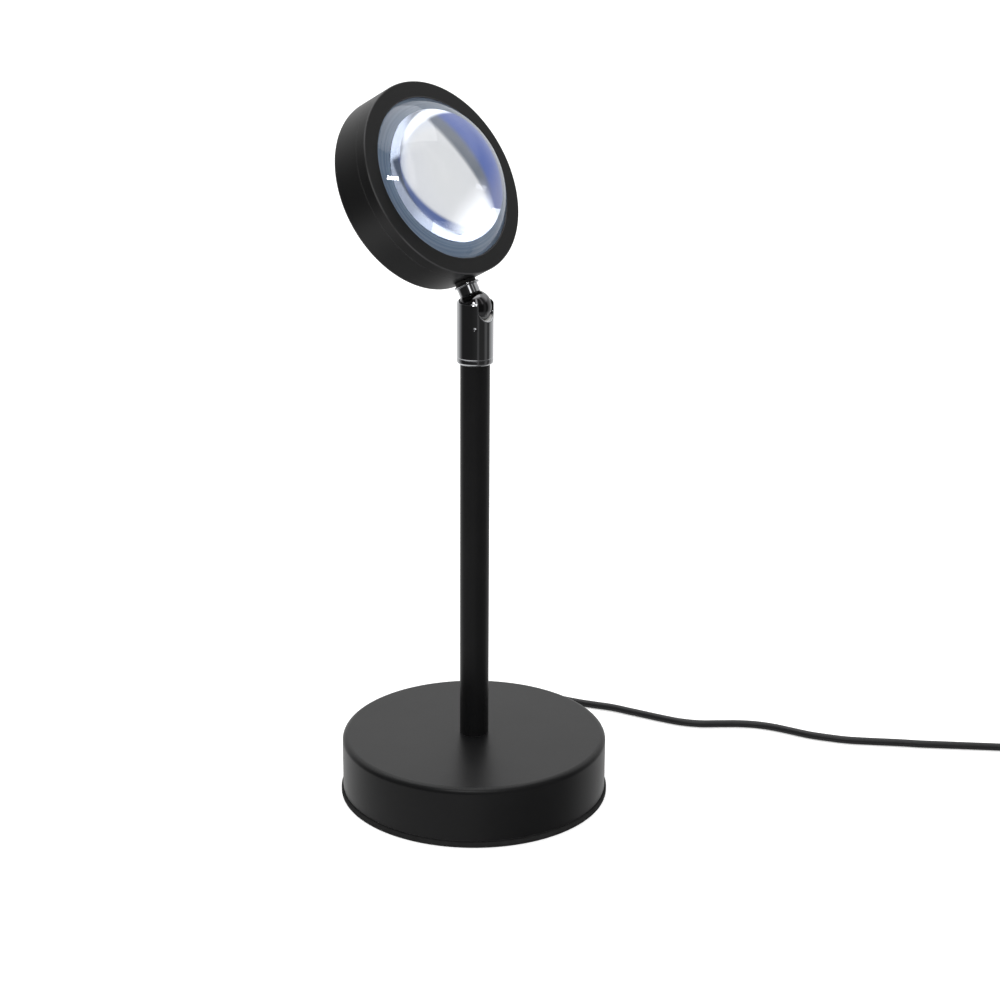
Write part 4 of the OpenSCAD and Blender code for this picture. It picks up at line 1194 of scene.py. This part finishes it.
# %% Moulded ring
def silicone(circle_size=1100.0):
    """A noise over the radius mixes two blues into circles, and a broad noise blends them into a third."""
    made, tree, shader = material("pale_silicone", (0.22, 0.30, 0.39), Specular_IOR_Level=0.3)
    g = use(tree, powder_grain, Roughness=0.5, Spread=0.1, Grain_size=0.0006)
    circles = add(tree, "TexNoise", {"noise_dimensions": "1D"}, W=use(tree, lens_radius)["Radius"],
        Scale=circle_size, Detail=3.0, Roughness=0.7)
    clear = remap(tree, circles.outputs[0], 0.36, 0.64)
    ringed = mixed(tree, (0.14, 0.20, 0.28), (0.30, 0.375, 0.46), clear)
    tone = mixed(tree, ringed, (0.21, 0.29, 0.40), g["Mask"])
    finish_with(tree, shader, tone, g["Roughness"], g["Height"], 0.00001)
    return made


finishes["pale_silicone"] = silicone()
print("finishes:", len(finishes))

# %% [markdown]
# ## Dressing every piece
#
# The record names one slot for each CAD node, and each new piece was given its slot above. Materials could be
# assigned piece by piece, but one loop over the slots can't forget a piece, and it stops with an error if a
# slot has no finish.

# %% Put the finishes on
slot_of = {part["node"]: part["material_slot"] for part in frame["record"]["subparts"]}


def paint(piece, finish):
    """The piece gets one material in every slot."""
    for i in range(len(piece.data.materials)):
        piece.data.materials[i] = finish
    if not piece.data.materials:
        piece.data.materials.append(finish)


for name, node in nodes.items():
    paint(node, finishes[slot_of[name]])
for piece, slot in dressed:
    paint(piece, finishes[slot])
print("painted:", len(nodes), "CAD nodes and", len(dressed), "new pieces")

# %% [markdown]
# ## The studio
#
# The lamp stands on a white table. Satin black and chrome show the room more than themselves, so the room is
# drawn with care. It could be built from walls and panels, but these would throw edges and hard shadows. Here
# it is the world itself: colour ramps over the compass direction, one for each band of height, with soft
# steps from band to band. The compass starts behind the lamp, seen from the camera's side: 0.25 is the
# picture's left, 0.5 is where the camera stands, and 0.75 is the right.

# %% World
camera_side = Vector((to_back.x, to_back.y, 0)).normalized()
right_side = Vector((-camera_side.y, camera_side.x, 0))
if right_side.dot(to_right) < 0:
    right_side = -right_side
world = bpy.data.worlds.new("studio")
bpy.context.scene.world = world
world.use_nodes = True
room = world.node_tree
room.nodes.clear()
look = add(room, "TexCoord").outputs["Generated"]
towards = vector_maths(room, "DOT_PRODUCT", look, tuple(camera_side))
rightwards = vector_maths(room, "DOT_PRODUCT", look, tuple(right_side))
compass = remap(room, maths(room, "ARCTAN2", rightwards, towards), -math.pi, math.pi)
height = add(room, "SeparateXYZ", at=(look,)).outputs[2]


def tones(*stops):
    """Tones round the compass. Each stop is a place from 0 to 1 and a grey number or a colour."""
    return colour_ramp(room, compass, stops)


def over(first, second, start, end):
    """first, and second where the look's height has gone from start to end."""
    return mixed(room, first, second, remap(room, height, start, end, ease="SMOOTHSTEP"))


print("the camera looks along", tuple(round(-v, 2) for v in camera_side))

# %% [markdown]
# ### What the coats and the chrome see
#
# Behind the lamp the walls are white, which gives the base and the stem their light edges. Towards the camera
# the room is dark, and that keeps the coats black. Two narrow lamps in the dark part of the ceiling draw the
# bright streaks down the chrome. Below the horizon the coats see the table's glow.

# %% Tones for reflections
walls = tones((0.0, 0.95), (0.03, 0.95), (0.097, 0.84), (0.15, 0.60), (0.19, 0.36), (0.214, 0.18),
    (0.24, 0.08), (0.264, 0.02), (0.44, 0.02), (0.53, 0.03), (0.55, 0.09), (0.58, 0.03), (0.655, 0.03),
    (0.70, 0.12), (0.74, 0.04), (0.765, 0.05), (0.786, 0.26), (0.85, 0.53), (0.93, 0.85), (1.0, 0.95))
ceiling = tones((0.0, 1.1), (0.22, 1.1), (0.28, 0.15), (0.35, 0.05), (0.50, 0.05), (0.52, 1.7), (0.545, 1.7),
    (0.565, 0.05), (0.64, 0.06), (0.655, 0.4), (0.675, 0.4), (0.69, 0.08), (0.74, 0.1), (0.77, 0.5),
    (0.82, 1.1), (1.0, 1.1))
zenith = (1.1, 1.1, 1.1)
table_glow = tones((0.0, 0.9), (0.15, 1.2), (0.50, 1.0), (0.56, 0.2), (0.74, 0.15), (0.82, 0.8), (1.0, 0.9))
under = tones((0.0, 0.45), (0.30, 0.45), (0.42, 0.14), (0.72, 0.12), (0.80, 0.45), (1.0, 0.45))
overhead = over(over(walls, ceiling, 0.30, 0.5), zenith, 0.86, 0.98)
coats_see = over(over(overhead, table_glow, -0.36, -0.55), under, -0.65, -0.85)
print("bands for reflections: under, table glow, walls, ceiling, zenith")

# %% [markdown]
# ### What is seen through the lens
#
# A ray that has gone through the glass and off the filter leaves the lens again in a new direction. In the
# picture such rays bring a white window, a violet crescent and a grey-blue band. They could be painted on the
# filter, but then they would stay still while the head moves. As tones of the room they slide over the lens
# as real reflections do.

# %% Tones for the lens
violet, grey_blue, deep_blue = (0.17, 0.25, 0.66), (0.29, 0.32, 0.37), (0.20, 0.27, 0.55)
pale_violet, warm_grey = (0.34, 0.38, 0.66), (0.42, 0.39, 0.37)
behind = tones((0.0, 1.25), (0.19, 1.25), (0.25, 0.40), (0.63, 0.40), (0.66, violet), (0.722, violet),
    (0.735, grey_blue), (0.752, grey_blue), (0.757, 1.25), (0.866, 1.28), (0.878, deep_blue),
    (0.925, deep_blue), (0.95, 1.28), (1.0, 1.28))
lamps_above = tones((0.0, 2.5), (0.36, 2.5), (0.45, 0.42), (0.63, 0.42), (0.66, pale_violet),
    (0.735, pale_violet), (0.77, 2.2), (1.0, 2.5))
straight_up = tones((0.0, 3.0), (0.36, 3.0), (0.42, 0.5), (0.725, 0.5), (0.80, 2.4), (0.84, 3.0), (1.0, 3.0))
low_down = tones((0.0, 0.8), (0.25, 0.8), (0.66, 0.8), (0.70, 2.4), (0.81, 2.4), (0.84, warm_grey),
    (0.89, warm_grey), (1.0, 0.8))
sky = over(over(behind, lamps_above, 0.60, 0.85), straight_up, 0.92, 0.97)
lens_sees = over(sky, low_down, -0.06, -0.17)
print("bands for the lens: low down, behind, lamps above, straight up")

# %% [markdown]
# ### Which ray sees what
#
# The renderer can tell what kind of ray is asking. The camera itself and the soft light on dull surfaces see
# plain white, so the background is clean and the light is even. A mirrored ray sees the walls, and a ray that
# comes out of the glass sees the lens's own tones. A photographer does the same with cards and flags that
# stand where only one surface sees them.

# %% Join the rooms
ray = add(room, "LightPath").outputs
plain = maths(room, "MAXIMUM", ray["Is Camera Ray"], ray["Is Diffuse Ray"])
reflected = mixed(room, coats_see, lens_sees, ray["Is Transmission Ray"])
seen = mixed(room, reflected, (1, 1, 1), plain)
backdrop = add(room, "Background", Color=seen, Strength=1.0)
room.links.new(backdrop.outputs[0], add(room, "OutputWorld").inputs["Surface"])
print("world nodes:", len(room.nodes))

# %% [markdown]
# ## The table
#
# The table is one large white sheet, which the frame calls the stage. A white surface under white light still
# renders slightly grey, so it glows a little, until it meets the background without a line. It is hidden from
# mirrored and transmitted rays, because the room's lower bands already stand for it there.

# %% Table
table_half, table_glows = 30, 0.45
corners = [(-table_half, -table_half, 0), (table_half, -table_half, 0), (table_half, table_half, 0),
    (-table_half, table_half, 0)]
table_mesh = bpy.data.meshes.new("table")
table_mesh.from_pydata(corners, [], [(0, 1, 2, 3)])
table = new_object("table", table_mesh)
white_table = material("white_table", (0.85, 0.85, 0.85), roughness=0.8, Specular_IOR_Level=0.1,
    Emission_Color=(1, 1, 1, 1), Emission_Strength=table_glows)[0]
paint(table, white_table)
table.visible_glossy = False
table.visible_transmission = False
print("table:", 2*table_half, "m wide")

# %% [markdown]
# ## The lights
#
# The room gives nearly all of the light. One soft box overhead adds the faint shadow that makes the lamp
# stand on the table. A second, narrow one is only there for the small bright stroke at the left of the lens:
# it is placed where the dome mirrors it into the camera, and it gives dull surfaces no light.

# %% Soft boxes
def area_light(name, at, look_at, size, power):
    """A square soft box that faces a point."""
    light = bpy.data.lights.new(name, "AREA")
    light.size = size
    light.energy = power
    holder = new_object(name, light)
    holder.location = at
    holder.rotation_mode = "QUATERNION"
    holder.rotation_quaternion = (Vector(look_at) - Vector(at)).to_track_quat("-Z", "Y")
    return holder


area_light("overhead", (0.1, 0.25, 1.3), (0, 0, 0.1), size=1.2, power=6)
glint_at, glint_way = Vector((-0.028, 0.014, 0.241)), Vector((-0.716, -0.401, 0.571))
glint = area_light("strip", glint_at + glint_way, glint_at, size=0.22, power=1.9)
glint.data.shape, glint.data.size_y = "RECTANGLE", 0.085
glint.visible_diffuse = False
print("strip light:", round(glint_way.length, 2), "m from the lens")

# %% [markdown]
# ## The view
#
# The Standard view keeps white as white, as in a catalogue picture, where a filmic view would grey it.

# %% View
bpy.context.scene.view_settings.view_transform = "Standard"
print("view:", bpy.context.scene.view_settings.view_transform)
